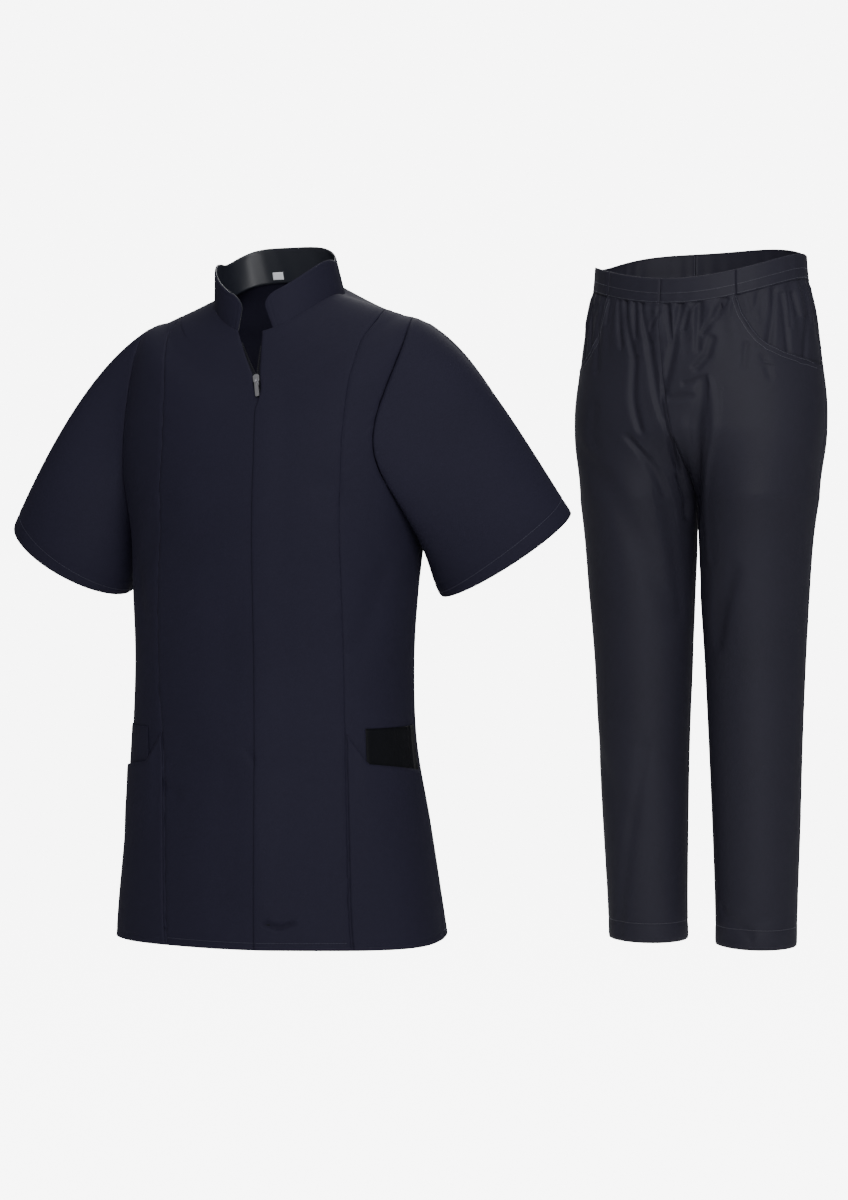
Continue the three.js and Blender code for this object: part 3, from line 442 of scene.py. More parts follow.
# Small creases on the fronts and side fronts: degrees and height of each end, width and depth
FRONT_CREASES = [
    (4.8, -0.7205, 9, -0.725, 0.0026, 0.0048), (9, -0.725, 13.8, -0.7205, 0.0026, 0.0044),
    (-1.2, -0.462, 1.6, -0.461, 0.002, 0.0012), (-0.5, -0.528, 2.4, -0.541, 0.003, 0.0018),
    (-37.2, -0.734, -33, -0.733, 0.002, 0.0015), (62, -0.730, 79, -0.732, 0.0018, 0.0012),
    (64, -0.586, 69.5, -0.551, 0.005, 0.0016), (-52, -0.556, -30.5, -0.579, 0.007, 0.0022),
    (-50, -0.548, -36, -0.552, 0.004, -0.0012), (-8, -0.560, -9, -0.700, 0.020, 0.0016),
    (-9, -0.380, -8, -0.500, 0.022, 0.0014), (30, -0.230, 52, -0.300, 0.014, 0.0018),
    (14, -0.560, 15, -0.690, 0.025, 0.0012), (-30, -0.250, -55, -0.330, 0.016, 0.0016),
]


def front_crease(u, degrees):
    return crease_depth(FRONT_CREASES, degrees, torso(u, degrees)[..., 2])


for hand, side in ((-1, "right"), (1, "left")):
    def front_surface(s, t, hand=hand):
        u = t * HEM
        inner, outer = front_edge(u[:, :1], hand), princess(u[:, :1], hand)
        share = s if hand > 0 else 1 - s
        return turned(torso(u, inner + (outer - inner) * share), TUNIC_TURN)

    def front_lift(s, t, left, right, top, bottom, hand=hand):
        u = t * HEM
        seam = right if hand > 0 else left
        edge = left if hand > 0 else right
        raised = seam_roll(seam) + seam_roll(edge, 0.0005, 0.0016)
        raised = raised + pucker(top, seam, 0.034, 0.0004, 0.012) * smooth(bottom, 0.02, 0.08)
        raised = raised + hem_lift(bottom)
        inner, outer = front_edge(u, hand), princess(u, hand)
        degrees = inner + (outer - inner) * (s if hand > 0 else 1 - s)
        if hand > 0:
            raised = raised + fly_lift(u, degrees)
        return raised - front_crease(u, degrees)

    piece = cloth_piece(f"front_{side}_cloth", 34, 230, front_surface, NAVY, lift=front_lift)
    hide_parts(f"front_{side}")

# Side fronts: the same navy cloth, one each side between the princess seam and the side seam.
# Each runs from the armhole to the hem and is seamed all round. SEAM_LAP goes under the front.
SEAM_LAP = 0.006
SIDE_FRONT_TOP = 1.56
SCYE_LEFT, SCYE_RIGHT, SCYE_BACK = 44, 24, 26


def scye_front(share, hand):
    return hand * (90 - (SCYE_LEFT if hand > 0 else SCYE_RIGHT) * np.sin(np.pi * share) ** 0.5)


for hand, side in ((-1, "right"), (1, "left")):
    def armhole(u, hand=hand):
        return scye_front(np.clip((u - ARMHOLE_TOP) / (ARMPIT - ARMHOLE_TOP), 0, 1), hand)

    def side_front_surface(s, t, hand=hand):
        u = SIDE_FRONT_TOP + t * (HEM - SIDE_FRONT_TOP)
        inner, outer = princess(u[:, :1], hand), armhole(u[:, :1], hand)
        share = -SEAM_LAP + (1 + SEAM_LAP) * (s if hand > 0 else 1 - s)
        return turned(torso(u, inner + (outer - inner) * share), TUNIC_TURN)

    def side_front_lift(s, t, left, right, top, bottom, hand=hand):
        near = np.minimum(left, right)
        u = SIDE_FRONT_TOP + t * (HEM - SIDE_FRONT_TOP)
        inner, outer = princess(u, hand), armhole(u, hand)
        degrees = inner + (outer - inner) * (s if hand > 0 else 1 - s)
        ease = pucker(top, left, 0.03, 0.0004, 0.012) + pucker(top, right, 0.026, 0.0004, 0.012)
        raised = seam_roll(near) + ease * smooth(bottom, 0.02, 0.08)
        return raised + hem_lift(bottom) - front_crease(u, degrees)

    piece = cloth_piece(f"side_front_{side}_cloth", 30, 210, side_front_surface, NAVY,
                        lift=side_front_lift)
    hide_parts(f"side_front_{side}")

# Back: one panel of the navy cloth from the neck to the hem.
# It is seamed to the fronts at the shoulders and down the sides, and to the sleeves at the armholes.
def armhole_back(u, hand):
    share = np.clip((u - ARMHOLE_TOP) / (ARMPIT - ARMHOLE_TOP), 0, 1)
    return hand * (90 + SCYE_BACK * np.sin(np.pi * share) ** 0.5)


def back_surface(s, t):
    u = t * HEM
    start, end = armhole_back(u, 1), 360 + armhole_back(u, -1)
    return turned(torso(u, start + (end - start) * s), TUNIC_TURN)


def back_lift(s, t, left, right, top, bottom):
    near = np.minimum(left, right)
    return seam_roll(near) + pucker(top, near, 0.03, 0.0004, 0.012) + hem_lift(bottom)


piece = cloth_piece("back_cloth", 100, 200, back_surface, NAVY, lift=back_lift, crowd=0.3)
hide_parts("back")

# Sleeves: one short set-in sleeve each side, of the navy cloth, hemmed with a 20 mm turning.
# Each is eased into its armhole and closed by a seam under the arm.
# Side, hand, middle of the hem, and the hem's width and depth
SLEEVES = [
    ("right", -1, (0.264, 0.022, -0.305), 0.168, 0.124),
    ("left", 1, (0.270, 0.010, -0.305), 0.182, 0.120),
]
for side, hand, hem, width, depth in SLEEVES:
    flip = np.array([hand, 1, 1])
    sweep = np.linspace(0, np.pi, 90)
    share = (1 + np.cos(sweep)) / 2
    rings = ARMHOLE_TOP + (ARMPIT - ARMHOLE_TOP) * share
    front_angle = scye_front(share, hand)
    u_loop = np.concatenate([rings, rings[::-1][1:]])
    angle_loop = np.concatenate([front_angle, armhole_back(rings[::-1][1:], hand)])
    loop = torso(u_loop, angle_loop)
    across = torso(u_loop, angle_loop + 0.5) - torso(u_loop, angle_loop - 0.5)
    down = torso(u_loop + 0.02, angle_loop) - torso(u_loop - 0.02, angle_loop)
    loop_normal = unit(np.cross(down, across))
    run = np.concatenate([[0], np.linalg.norm(np.diff(loop, axis=0), axis=1).cumsum()])
    axis = unit(np.array([0.5, 0.33, -0.8]) * flip)
    rise = np.array([0.86, 0, 0.51]) * flip
    rise = unit(rise - axis * (rise @ axis))
    ahead = -hand * np.cross(rise, axis)
    centre = np.array(hem) * flip

    def sleeve_surface(s, t, run=run, loop=loop, loop_normal=loop_normal, axis=axis, rise=rise,
                       ahead=ahead, centre=centre, flip=flip, width=width, depth=depth, hand=hand):
        share = s if hand > 0 else 1 - s
        start = read_along(share * run[-1], run, loop)
        turn = 2 * np.pi * share
        low = smooth(np.abs(share - 0.5) * 2, 0, 1)[..., None]
        end = centre - rise * (np.cos(turn) * width / 2)[..., None]
        end = end + ahead * (np.sin(turn) * depth / 2)[..., None]
        over_arm, under_arm = np.array([0.88, 0, -0.47]) * flip, np.array([0.28, 0.1, -0.95]) * flip
        leave = unit((1 - low) * over_arm + low * under_arm)
        start = start + leave * 0.0004
        reach = np.linalg.norm(end - start, axis=-1, keepdims=True)
        t = t[..., None]
        place = start * (2 * t**3 - 3 * t**2 + 1) + leave * (t**3 - 2 * t**2 + t) * reach * 0.9
        place = place + end * (3 * t**2 - 2 * t**3) + axis * (t**3 - t**2) * reach * 0.9
        return turned(place, TUNIC_TURN)

    def sleeve_lift(s, t, left, right, top, bottom):
        ease = pucker(left, top, 0.019, 0.0005, 0.014)
        raised = seam_roll(top, 0.0008, 0.003) + ease + seam_roll(np.minimum(left, right), 0.0006)
        return raised + hem_lift(bottom, 0.0007, 0.0013)

    piece = cloth_piece(f"sleeve_{side}_cloth", 110, 62, sleeve_surface, NAVY,
                        lift=sleeve_lift, crowd=0.2)
    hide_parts(f"sleeve_{side}")

# Collar: a stand collar 40 mm high of two layers, navy cloth outside and its satin side inside.
# Both layers have rounded front ends and are joined to the neck seam and round their top edge.
COLLAR_HEIGHT = 0.040
COLLAR_LEAN = 0.005
COLLAR_ROUND = 0.013
SATIN = fabric("satin_cloth", (0.009, 0.0103, 0.0160), 0.42, 0.05, 900, 0.08, 0.34)


def collar(share, degrees):
    base = torso(np.zeros_like(degrees), degrees)
    out = unit(base * [1, 1, 0])
    lean = COLLAR_LEAN * share
    return base - out * lean[..., None] + points(-lean, 0, 0.0008 + COLLAR_HEIGHT * share)


def collar_surface(s, t):
    share = 1 - t * 1.05
    reach = 0.0215 + (0.015 - 0.0215) * np.clip(share, 0, 1)
    start, end = angle_at(0.0 * s, -0.0115 + reach), 360 + angle_at(0.0 * s, -0.0115 - reach)
    inset = np.maximum(COLLAR_ROUND - np.minimum(s, 1 - s) * 0.405, 0)
    corner = COLLAR_ROUND - np.sqrt(COLLAR_ROUND**2 - inset**2)
    share = share * (1 - corner / COLLAR_HEIGHT * (share > 0))
    return turned(collar(share, start + (end - start) * s), TUNIC_TURN)


def collar_lift(s, t, left, right, top, bottom):
    edge = np.minimum(np.minimum(left, right), top)
    return seam_roll(edge, 0.0005, 0.0015) - 0.0003 * np.exp(-((edge - 0.005) / 0.0009) ** 2)


outer = cloth_piece("collar_outer_cloth", 190, 22, collar_surface, NAVY, wall=0.001,
                    lift=collar_lift, crowd=0.75)
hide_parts("collar_outer")


def collar_inner_lift(s, t, left, right, top, bottom):
    slow = np.sin(left / 0.013 + 1.2 * np.sin(left / 0.021))
    return -0.0015 + 0.0003 * slow * np.sin(left / 0.0061 + 3 * t) * smooth(top, 0.001, 0.006)


inner = cloth_piece("collar_inner_cloth", 190, 22, collar_surface, SATIN, wall=0.001,
                    lift=collar_inner_lift, crowd=0.75)
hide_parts("collar_inner")

# Neck label: a small white woven tab, blank, sewn to the inside of the collar at the back.
WHITE = fabric("label_weave", (0.62, 0.63, 0.68), 0.6, 0.1, 900, 0.1)


def label_surface(s, t):
    return turned(collar(0.275 - 0.225 * t, 197 + (s - 0.5) * 10.2), TUNIC_TURN)


label = cloth_piece("neck_label_cloth", 10, 8, label_surface, WHITE, wall=0.0006, crowd=0,
                    lift=lambda s, t, left, right, top, bottom: -0.0029 - 0.0006 * (1 - t))
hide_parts("neck_label")

# Pockets: a patch of the navy cloth low on each side front, caught in the princess and side seams.
# Behind each open mouth a band of satin is sewn flat to the side front, drawn darker than the satin
# as painted shade of the pocket mouth on the left, and in the navy cloth as painted shade on the right.
POCKET_WIDTH = 0.092
TAB_WIDTH, TAB_TOP, TAB_FOOT, MOUTH_FALL = 0.0154, -0.508, -0.545, 0.015


def ring_at_height(z, degrees):
    z, degrees = np.broadcast_arrays(z, degrees)
    low, high = np.zeros(z.shape), np.full(z.shape, float(HEM))
    for _ in range(20):
        half = (low + high) / 2
        over = torso(half, degrees)[..., 2] > z
        low, high = np.where(over, half, low), np.where(over, high, half)
    return low


# The facing satin is a much darker copy of the collar's satin: painted shade of the pocket mouth.
SHADED_POCKET_SATIN = fabric("pocket_satin_painted_shade", (0.0034, 0.0037, 0.0050), 0.40, 0.02, 900, 0.08, 0.09)
for hand, side in ((-1, "right"), (1, "left")):
    start_9 = float(princess(np.array([9.0]), hand)[0])

    def pocket_ring(z, share, hand=hand, start_9=start_9):
        return ring_at_height(z, start_9 + (90 * hand - start_9) * share)

    def pocket_surface(s, t, hand=hand, pocket_ring=pocket_ring):
        share = 0.012 + (s if hand > 0 else 1 - s) * 0.95
        across = share[:1] * POCKET_WIDTH
        tab = TAB_TOP + (TAB_FOOT - TAB_TOP) * across / TAB_WIDTH
        rest = TAB_FOOT - MOUTH_FALL * (across - TAB_WIDTH) / (POCKET_WIDTH - TAB_WIDTH)
        mouth = np.where(across < TAB_WIDTH, tab, rest)
        top = pocket_ring(mouth, share[:1])
        u = top + (HEM - 0.03 - top) * t
        seam = princess(u, hand)
        return turned(torso(u, seam + (90 * hand - seam) * share), TUNIC_TURN)

    def pocket_lift(s, t, left, right, top, bottom, hand=hand):
        seam = left if hand > 0 else right
        over_facing = smooth(seam, 0.004, 0.018) * (1 - smooth(top, 0.035, 0.075))
        raised = 0.0014 + 0.0019 * over_facing + 0.0010 * np.exp(-(top / 0.02) ** 2) * over_facing
        raised = raised - 0.0007 * np.exp(-(seam / 0.002) ** 2)
        raised = raised - 0.0005 * np.exp(-((bottom - HEM_TURNING) / 0.0012) ** 2)
        return raised + seam_roll(top, 0.0004, 0.0015)

    pocket = cloth_piece(f"pocket_{side}_cloth", 30, 60, pocket_surface, NAVY, lift=pocket_lift)
    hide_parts(f"pocket_{side}")

    def facing_surface(s, t, hand=hand, pocket_ring=pocket_ring):
        share = 0.167 + (s if hand > 0 else 1 - s) * 0.79
        u = pocket_ring(-0.505 - 0.070 * t, share)
        seam = princess(u, hand)
        return turned(torso(u, seam + (90 * hand - seam) * share), TUNIC_TURN)

    def facing_lift(s, t, left, right, top, bottom, hand=hand):
        streaks = np.sin(left / 0.0031 + 1.4 * np.sin(left / 0.0057)) * np.sin(left / 0.011 + 0.6)
        streaks = streaks * (0.0004 if hand > 0 else 0.0001)
        return 0.0014 + streaks + seam_roll(top, 0.0005, 0.002)

    # The right facing is drawn in the navy cloth: painted shade standing in for the satin band there.
    facing = cloth_piece(f"pocket_facing_{side}_cloth", 70, 18, facing_surface,
                          SHADED_POCKET_SATIN if hand > 0 else NAVY, wall=0.0008, lift=facing_lift)
    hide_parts(f"pocket_facing_{side}")

# Zip tapes: dark woven tape, one each side of the chain, sewn under the edges of the fronts.
# The plastic chain is moulded along their facing edges, and stands open above the slider.
TAPE = fabric("zip_tape_weave", (0.006, 0.0065, 0.010), 0.8, 0.1, 900, 0.2)
for hand, side in ((-1, "right"), (1, "left")):
    def tape_edge(u, hand=hand):
        spread = open_at(u) * (OPEN_RIGHT if hand < 0 else OPEN_LEFT)
        return look_up(SEAM_LINES, u, 1) + hand * (0.00015 + spread)

    def tape_surface(s, t, hand=hand, tape_edge=tape_edge):
        u = 0.5 + t * 11.2
        share = s if hand > 0 else 1 - s
        degrees = angle_at(u, tape_edge(u) + hand * 0.013 * share)
        return turned(torso(u, degrees), TUNIC_TURN)

    tape = cloth_piece(f"zip_tape_{side}_cloth", 6, 200, tape_surface, TAPE, wall=0.0006, crowd=0,
                       lift=lambda s, t, left, right, top, bottom: np.full_like(s, -WALL - LAYER_GAP))
    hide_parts(f"zip_tape_{side}")

# Zip chain: small moulded teeth along the facing edge of each tape, dark like the tape.
TEETH = fabric("zip_plastic", (0.010, 0.010, 0.014), 0.35, 0, 900, 0.05, 0.4)
for hand, side in ((-1, "right"), (1, "left")):
    rows = [(f"zip_tape_{side}_cloth", 0.07 if hand > 0 else 0.93, np.linspace(0.01, 0.995, 400))]
    chain = stitches(f"zip_teeth_{side}", rows, TEETH, length=0.0013, pitch=0.0024, thread=0.0015)

# Sewing of the tunic: one row of lock stitches 20 mm above every hem, in thread like the cloth.
rows = [("back_cloth", np.linspace(0.004, 0.996, 500), 1 - HEM_TURNING / 0.78)]
for side in ("right", "left"):
    rows.append((f"front_{side}_cloth", np.linspace(0.02, 0.98, 200), 1 - HEM_TURNING / 0.70))
    rows.append((f"sleeve_{side}_cloth", np.linspace(0.01, 0.99, 300), 1 - HEM_TURNING / 0.25))
stitches("tunic_sewing", rows, NAVY_THREAD)

# Slider and pull: plated zinc, cast, the slider on the chain and the pull hooked through its bail.
# Both keep the construction's own solids, with their edges softened.
METAL = bpy.data.materials.new("plated_zinc")
METAL.use_nodes = True
zinc = METAL.node_tree.nodes["Principled BSDF"]
zinc.inputs["Base Color"].default_value = (0.62, 0.62, 0.65, 1)
zinc.inputs["Metallic"].default_value = 1
zinc.inputs["Roughness"].default_value = 0.28
for name in ("zip_slider", "zip_pull"):
    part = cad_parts[name]
    part.data.materials.clear()
    part.data.materials.append(METAL)
    edges = part.modifiers.new("soft_edges", "BEVEL")
    edges.affect = "EDGES"
    edges.width = 0.0002
    edges.segments = 2
    edges.profile = 0.5
    edges.material = -1
    edges.limit_method = "ANGLE"
    edges.angle_limit = math.radians(40)

# Trouser legs: dark blue-grey twill, a front and a back for each leg, seamed outside, inside and
# through the middle. The elastic above gathers their tops.
TROUSERS_PLACE = np.array([0.568, 0.469, 0])
TROUSERS_TURN = 22
# Rings from the waist to the crotch: half width, front and back depth,
# height at the front, the side and the back, and twist in degrees
HIP_RINGS = [
    (0.152, 0.104, 0.104, 0.088, 0.127, 0.157, 11.5),
    (0.155, 0.106, 0.106, 0.053, 0.092, 0.122, 11.5),
    (0.1665, 0.114, 0.115, 0.008, 0.038, 0.062, 10),
    (0.174, 0.119, 0.122, -0.038, -0.020, -0.006, 8),
    (0.180, 0.122, 0.126, -0.084, -0.076, -0.070, 6),
    (0.179, 0.122, 0.125, -0.128, -0.126, -0.124, 3.5),
    (0.176, 0.120, 0.122, -0.172, -0.172, -0.172, 1.5),
    (0.171, 0.116, 0.118, -0.215, -0.215, -0.215, 0),
]
WAIST, CROTCH, TROUSER_HEM = 1.005, 7, 14
TROUSER_TURNING = 0.022
# Rings of one leg from the crotch to the hem: height, shift of the pair, distance from
# the middle, half width and half depth
LEG_RINGS = [
    (-0.215, -0.0015, 0.086, 0.085, 0.109), (-0.270, -0.0025, 0.0835, 0.081, 0.097),
    (-0.340, -0.0025, 0.0825, 0.077, 0.086), (-0.445, -0.001, 0.0815, 0.071, 0.076),
    (-0.560, -0.0005, 0.0815, 0.066, 0.069), (-0.675, 0.001, 0.081, 0.062, 0.064),
    (-0.790, 0.0025, 0.0795, 0.058, 0.060), (-0.847, 0.003, 0.0785, 0.0575, 0.0585),
]
# Long soft folds: hand (0 for both), angle and height of each end, width, depth
TROUSER_FOLDS = [
    (1, 14, -0.060, 9, -0.330, 0.013, 0.006),
    (-1, 62, -0.130, 20, -0.380, 0.018, 0.004),
    (1, 36, -0.310, 24, -0.430, 0.015, 0.004),
    (-1, 80, -0.560, 40, -0.700, 0.020, 0.0025),
    (0, 140, -0.170, 168, -0.260, 0.022, 0.005),
    (0, 130, -0.330, 165, -0.420, 0.020, 0.003),
    (1, 70, -0.790, 25, -0.838, 0.016, 0.003),
]
# Edge of the front where the pocket is scooped out: ring, and degrees from the middle of the front
SCOOP = [
    (1, 37.5), (1.6, 39), (2.07, 42), (2.35, 44.5), (2.58, 48.3), (2.81, 55), (2.97, 63), (3.09, 73),
    (3.14, 82), (3.16, 90),
]
# Gathers and creases read off the photograph: degrees from the middle of the front and
# height of each end, width and depth. Minus depths stand out
GATHER_CREASES = [
    (-44, 0.073, -39, -0.032, 0.007, 0.0022), (-34, 0.065, -34.2, 0.036, 0.004, 0.0016),
    (-26.2, 0.063, -21.8, -0.002, 0.004, 0.0018), (-21.2, 0.062, -14, -0.022, 0.005, 0.0026),
    (-14, -0.022, -16.2, -0.122, 0.006, 0.0034), (-15, 0.060, -13, 0.009, 0.004, 0.0016),
    (-10.2, 0.056, -5.8, -0.003, 0.0045, 0.0028), (-5.8, -0.003, -2.5, -0.107, 0.006, 0.003),
    (0, 0.043, -5.2, 0.018, 0.004, 0.0016), (4, 0.054, 5.8, 0.003, 0.0045, 0.0024),
    (11.2, 0.053, 6.8, -0.005, 0.005, 0.0028), (6.8, -0.005, -1.8, -0.082, 0.006, 0.0032),
    (19.5, 0.055, 15, 0.044, 0.004, 0.002), (15, 0.044, 11.5, 0.015, 0.004, 0.002),
    (20.2, 0.050, 17.2, -0.014, 0.0045, 0.0024), (32.2, 0.055, 26.2, 0.029, 0.005, 0.003),
    (26.2, 0.029, 19.8, 0.009, 0.005, 0.003), (24.2, 0, 21, -0.023, 0.005, 0.0026),
    (21, -0.023, 15.5, -0.040, 0.005, 0.003), (36, 0.052, 34.5, 0.034, 0.004, 0.0012),
    (38.2, -0.008, 35.8, -0.039, 0.004, 0.0014), (44.8, -0.026, 46, -0.054, 0.004, 0.0016),
    (9.5, -0.061, 18.5, -0.054, 0.004, 0.0024), (1.8, -0.080, 14.2, -0.079, 0.005, 0.0016),
    (17.5, -0.059, 14.5, -0.119, 0.008, 0.0032), (14.5, -0.119, 16.8, -0.238, 0.009, 0.003),
    (20.5, -0.056, 23.5, -0.200, 0.006, -0.0018), (23.5, -0.200, 25, -0.303, 0.007, -0.0014),
    (-24.8, -0.135, -23.5, -0.164, 0.007, 0.0034), (-23.5, -0.164, -23, -0.210, 0.009, 0.0034),
    (-38.5, -0.086, -46.5, -0.138, 0.009, 0.0016), (-2, -0.084, -2, -0.140, 0.004, 0.003),
    (-2, -0.140, -9.5, -0.191, 0.006, 0.006), (-9.5, -0.191, -10, -0.237, 0.008, 0.007),
    (40.8, -0.319, 29.5, -0.419, 0.011, 0.0024), (-60, -0.832, -36.5, -0.572, 0.012, 0.002),
    (-24, -0.213, -13.8, -0.375, 0.012, 0.002), (23.5, -0.793, 47, -0.828, 0.008, 0.002),
]
HIP_CREASES = [
    (42.5, 0.059, 44, 0.028, 0.003, 0.0012), (48.2, 0.064, 42, 0.028, 0.003, 0.0012),
    (55.8, 0.068, 48.5, -0.008, 0.0045, 0.0030), (59.8, 0.063, 57.8, -0.018, 0.004, 0.0028),
    (67, 0.065, 67.8, 0.036, 0.004, 0.0024), (75, 0.032, 68.5, -0.021, 0.006, 0.0030),
    (63.5, 0.070, 61.5, 0.020, 0.004, 0.0018), (80, 0.075, 78, 0.030, 0.005, 0.0020),
]
TWILL = fabric("twill_cloth", (0.0160, 0.0154, 0.0242), 0.60, 0.04, 800, 0.2, 0.13)
# Thread a good deal lighter than the twill: its own colour and a painted highlight on the stitches.
TWILL_THREAD_AND_HIGHLIGHT = fabric("twill_thread_and_painted_highlight", (0.050, 0.050, 0.064), 0.5, 0.3, 2500, 0.1)


def scoop(u):
    return np.where(u >= 3.16, 90.0, look_up(SCOOP, u, 1))


def half_trousers(hand, u, degrees):
    side, front, back, z_front, z_side, z_back, twist = along(HIP_RINGS, np.minimum(u, CROTCH))
    full = hand * degrees
    full = full - hand * 13 * np.sin(np.radians(2 * degrees)) * smooth(u, 3.5, CROTCH)
    squareness = 0.02 + 0.08 * smooth(u, 2, 6)
    ring_angle = full - twist * np.cos(np.radians(hand * degrees))
    hip = ring_point(side, front, back, z_front, z_side, z_back, ring_angle, squareness)
    full = hand * degrees
    leg_z, shift, leg_x, leg_width, leg_depth = along(LEG_RINGS, np.maximum(u - CROTCH, 0))
    split = smooth(u, 4.8, 7.4)
    round_leg = np.radians(2 * degrees)
    x = hip[..., 0] + (shift + hand * (leg_x - leg_width * np.cos(round_leg)) - hip[..., 0]) * split
    y = hip[..., 1] + (-leg_depth * np.sin(round_leg) - hip[..., 1]) * split
    place = points(x, y, np.where(u > CROTCH, leg_z, hip[..., 2]))
    middle = points(split * (shift + hand * leg_x), 0, place[..., 2])
    out = unit((place - middle) * [1, 1, 0])
    fade = (0.35 + 0.65 * smooth(u, 1, 1.3)) * (1 - smooth(u, 1.3, 3))
    wave = 0.5 + 0.5 * np.cos(np.radians(40 * full + 50 * np.sin(np.radians(3 * full)) + 40))
    uneven = 0.75 + 0.25 * np.sin(np.radians(5 * full + 80))
    dip = fold_dip(TROUSER_FOLDS, hand, degrees, place[..., 2]) * smooth(u, 3.8, 4.8)
    return place + out * (np.where(u > 1, 0.0034 * fade * wave * uneven, 0) - dip)[..., None]


def worn_trousers(place):
    return turned(place, TROUSERS_TURN) + TROUSERS_PLACE


def leg_ring(t):
    """Ring of a leg at a share of its length, with more rows near the waist."""
    u = np.linspace(WAIST, TROUSER_HEM, 400)
    on_hip, on_leg = np.minimum(u, CROTCH), np.maximum(u - CROTCH, 0)
    z = np.where(u < CROTCH, along(HIP_RINGS, on_hip)[4], along(LEG_RINGS, on_leg)[0])
    return np.interp(t**1.25, (z[0] - z) / (z[0] - z[-1]), u)


def front_degrees(u, share):
    return np.where(share < 0.5, 60 * share, 30 + (scoop(u) - 30) * (2 * share - 1))


for hand, side in ((-1, "right"), (1, "left")):
    def front_leg_surface(s, t, hand=hand):
        u = leg_ring(t)
        return worn_trousers(half_trousers(hand, u, front_degrees(u, s if hand > 0 else 1 - s)))

    def back_leg_surface(s, t, hand=hand):
        u = leg_ring(t)
        share = s if hand > 0 else 1 - s
        return worn_trousers(half_trousers(hand, u, 90 + 90 * share))

    def leg_lift(s, t, left, right, top, bottom):
        near = np.minimum(left, right)
        raised = seam_roll(near, 0.0008) + pucker(top, near, 0.03, 0.0004, 0.01)
        return raised + hem_lift(bottom, 0.0007, 0.0013, TROUSER_TURNING)

    def front_leg_lift(s, t, left, right, top, bottom, hand=hand):
        u = leg_ring(t)
        degrees = front_degrees(u, s if hand > 0 else 1 - s)
        z = half_trousers(hand, u, degrees)[..., 2]
        outside = right if hand > 0 else left
        lip = 0.0008 * np.exp(-((outside - 0.0045) / 0.003) ** 2) * (u < 3.3)
        creases = crease_depth(GATHER_CREASES, hand * degrees, z)
        return leg_lift(s, t, left, right, top, bottom) + lip - creases

    def back_leg_lift(s, t, left, right, top, bottom, hand=hand):
        u = leg_ring(t)
        degrees = 90 + 90 * (s if hand > 0 else 1 - s)
        z = half_trousers(hand, u, degrees)[..., 2]
        gathers = []
        for k in range(14):
            at = 96 + 6.1 * k + 1.8 * math.sin(3.1 * k + hand)
            drop = 0.055 + 0.035 * math.sin(2.3 * k + hand)
            high = 0.092 + 0.030 * math.sin(math.radians(at - 90)) ** 2
            slant = 3 * math.sin(1.7 * k)
            depth = 0.0018 + 0.001 * math.sin(4.1 * k)
            gathers.append((at, high, at + slant, high - drop, 0.005, depth))
        return leg_lift(s, t, left, right, top, bottom) - crease_depth(gathers, degrees, z)

    front = cloth_piece(f"front_leg_{side}_cloth", 130, 260, front_leg_surface, TWILL,
                        lift=front_leg_lift, crowd=0.3)
    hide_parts(f"front_leg_{side}")
    back = cloth_piece(f"back_leg_{side}_cloth", 80, 240, back_leg_surface, TWILL,
                       lift=back_leg_lift, crowd=0.3)
    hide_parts(f"back_leg_{side}")

# Hip pieces: the twill behind the scoop of each pocket, which fills the hip to the side seam.
# Each is gathered into the waistband above, and its lower edge lies inside the front.
HIP_PIECE_RINGS = 2.4
for hand, side in ((-1, "right"), (1, "left")):
    def hip_surface(s, t, hand=hand):
        u = WAIST + t * HIP_PIECE_RINGS
        inner = np.minimum(scoop(u) - 8, 47)
        share = s if hand > 0 else 1 - s
        return worn_trousers(half_trousers(hand, u, inner + (90 - inner) * share))

    def hip_lift(s, t, left, right, top, bottom, hand=hand):
        u = WAIST + t * HIP_PIECE_RINGS
        inner = np.minimum(scoop(u) - 8, 47)
        degrees = inner + (90 - inner) * (s if hand > 0 else 1 - s)
        under = 1 - smooth(degrees, scoop(u) - 3, scoop(u) + 6)
        side_seam = right if hand > 0 else left
        z = half_trousers(hand, u, degrees)[..., 2]
        under = under + crease_depth(HIP_CREASES, degrees, z) / 0.0014
        return -0.0008 - 0.0014 * under - 0.0011 * smooth(u, 3.0, 3.2) + seam_roll(side_seam, 0.0006)

    piece = cloth_piece(f"hip_piece_{side}_cloth", 60, 60, hip_surface, TWILL, lift=hip_lift, crowd=0)
    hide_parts(f"hip_piece_{side}")

# Waistband: four lengths of the twill folded over a 30 mm elastic, 35 mm high and finely gathered.
# They join at the middle of the front and back and where the pocket scoops start.
# Where, first and last degree from the middle of the front, columns, and flat size
BAND_LENGTHS = [
    ("front", 0, 37.5, 60, (0.10, 0.037)),
    ("back", 37.5, 180, 180, (0.32, 0.037)),
]
for hand, side in ((-1, "right"), (1, "left")):
    for where, start, end, columns, flat in BAND_LENGTHS:
        def band_surface(s, t, hand=hand, start=start, end=end):
            share = s if hand > 0 else 1 - s
            return worn_trousers(half_trousers(hand, t * 1.02, start + (end - start) * share + 0 * t))

        def band_lift(s, t, left, right, top, bottom, hand=hand, start=start, end=end):
            degrees = start + (end - start) * (s if hand > 0 else 1 - s)
            ruche = np.sin(np.radians(hand * degrees * 40 + 60 * np.sin(np.radians(7 * degrees)) + 40))
            ruche = ruche * (0.35 + 0.65 * smooth(degrees, 50, 110))
            ruche = ruche * (0.6 + 0.4 * np.sin(np.radians(11 * degrees)))
            ends = seam_roll(np.minimum(left, right), 0.0007, 0.002) + seam_roll(top, 0.0008, 0.002)
            return 0.0007 + 0.0006 * ruche * (0.4 + 0.6 * t) + ends + seam_roll(bottom, 0.0008, 0.003)

        band = cloth_piece(f"waistband_{where}_{side}_cloth", columns, 16, band_surface, TWILL,
                           wall=0.002, lift=band_lift, crowd=0)
        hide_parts(f"waistband_{where}_{side}")
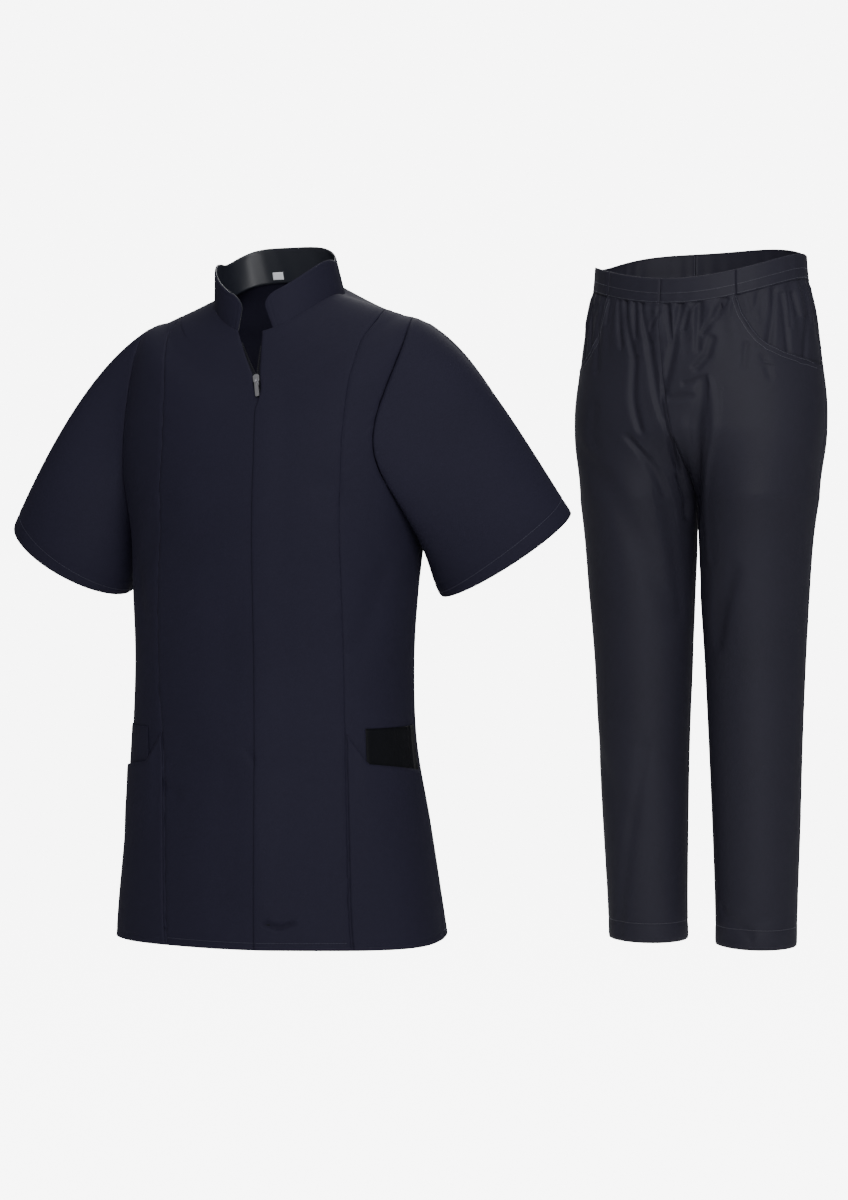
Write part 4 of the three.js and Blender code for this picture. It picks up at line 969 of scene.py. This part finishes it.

# Sewing of the trousers: two rows along the waistband and each scoop, one round each hem, and
# the seam of the waistband at the middle of the back, which shows on its inside.
# Lock stitches of polyester thread, lighter than the twill: partly its own colour, partly a painted
# highlight.
BAND_HEIGHT = 0.036
HIP_METRES_PER_DEGREE, METRES_PER_RING = 0.0029, 0.045
LENGTHS = np.linspace(0, 1, 400)
SEWN_RINGS = np.linspace(1.06, 3.15, 60)
scoop_run = [scoop(SEWN_RINGS) * HIP_METRES_PER_DEGREE, -SEWN_RINGS * METRES_PER_RING]
scoop_run = np.stack(scoop_run, -1)
inwards = np.gradient(scoop_run, axis=0)
inwards = unit(np.stack([inwards[:, 1], -inwards[:, 0]], -1))
for hand, side in ((-1, "right"), (1, "left")):
    rows = []
    for where in ("front", "back"):
        for up in (0.0018, 0.0125):
            band_name = f"waistband_{where}_{side}_cloth"
            rows.append((band_name, np.linspace(0.004, 0.996, 400), 1 - up / BAND_HEIGHT))
        low = 1 - TROUSER_TURNING / 0.93
        rows.append((f"{where}_leg_{side}_cloth", np.linspace(0.01, 0.99, 200), low))
    for inset in (0.0018, 0.0072):
        place = scoop_run + inwards * inset
        degrees, rings = place[:, 0] / HIP_METRES_PER_DEGREE, -place[:, 1] / METRES_PER_RING
        share = 0.5 + (degrees - 30) / (scoop(np.minimum(rings, 3.16)) - 30) / 2
        share = np.where(degrees < 30, degrees / 60, share)
        down = np.interp(rings, leg_ring(LENGTHS), LENGTHS)
        keep = (share < 0.997) & (down > 0.002)
        rows.append((f"front_leg_{side}_cloth", (share if hand > 0 else 1 - share)[keep], down[keep]))
    sewing = stitches(f"trouser_sewing_{side}", rows, TWILL_THREAD_AND_HIGHLIGHT,
                      length=0.0026, pitch=0.0034, thread=0.0006)
    beside_seam = 0.9965 if hand > 0 else 0.0035
    inside = [(f"waistband_back_{side}_cloth", beside_seam, np.linspace(0.06, 0.94, 40))]
    seam = stitches(f"waist_seam_{side}", inside, TWILL_THREAD_AND_HIGHLIGHT,
                    length=0.003, pitch=0.0034, thread=0.0007, sunk=0.0021)

size = [[c for c in LOW], [c for c in HIGH]], [[c for c in corner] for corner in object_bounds()]
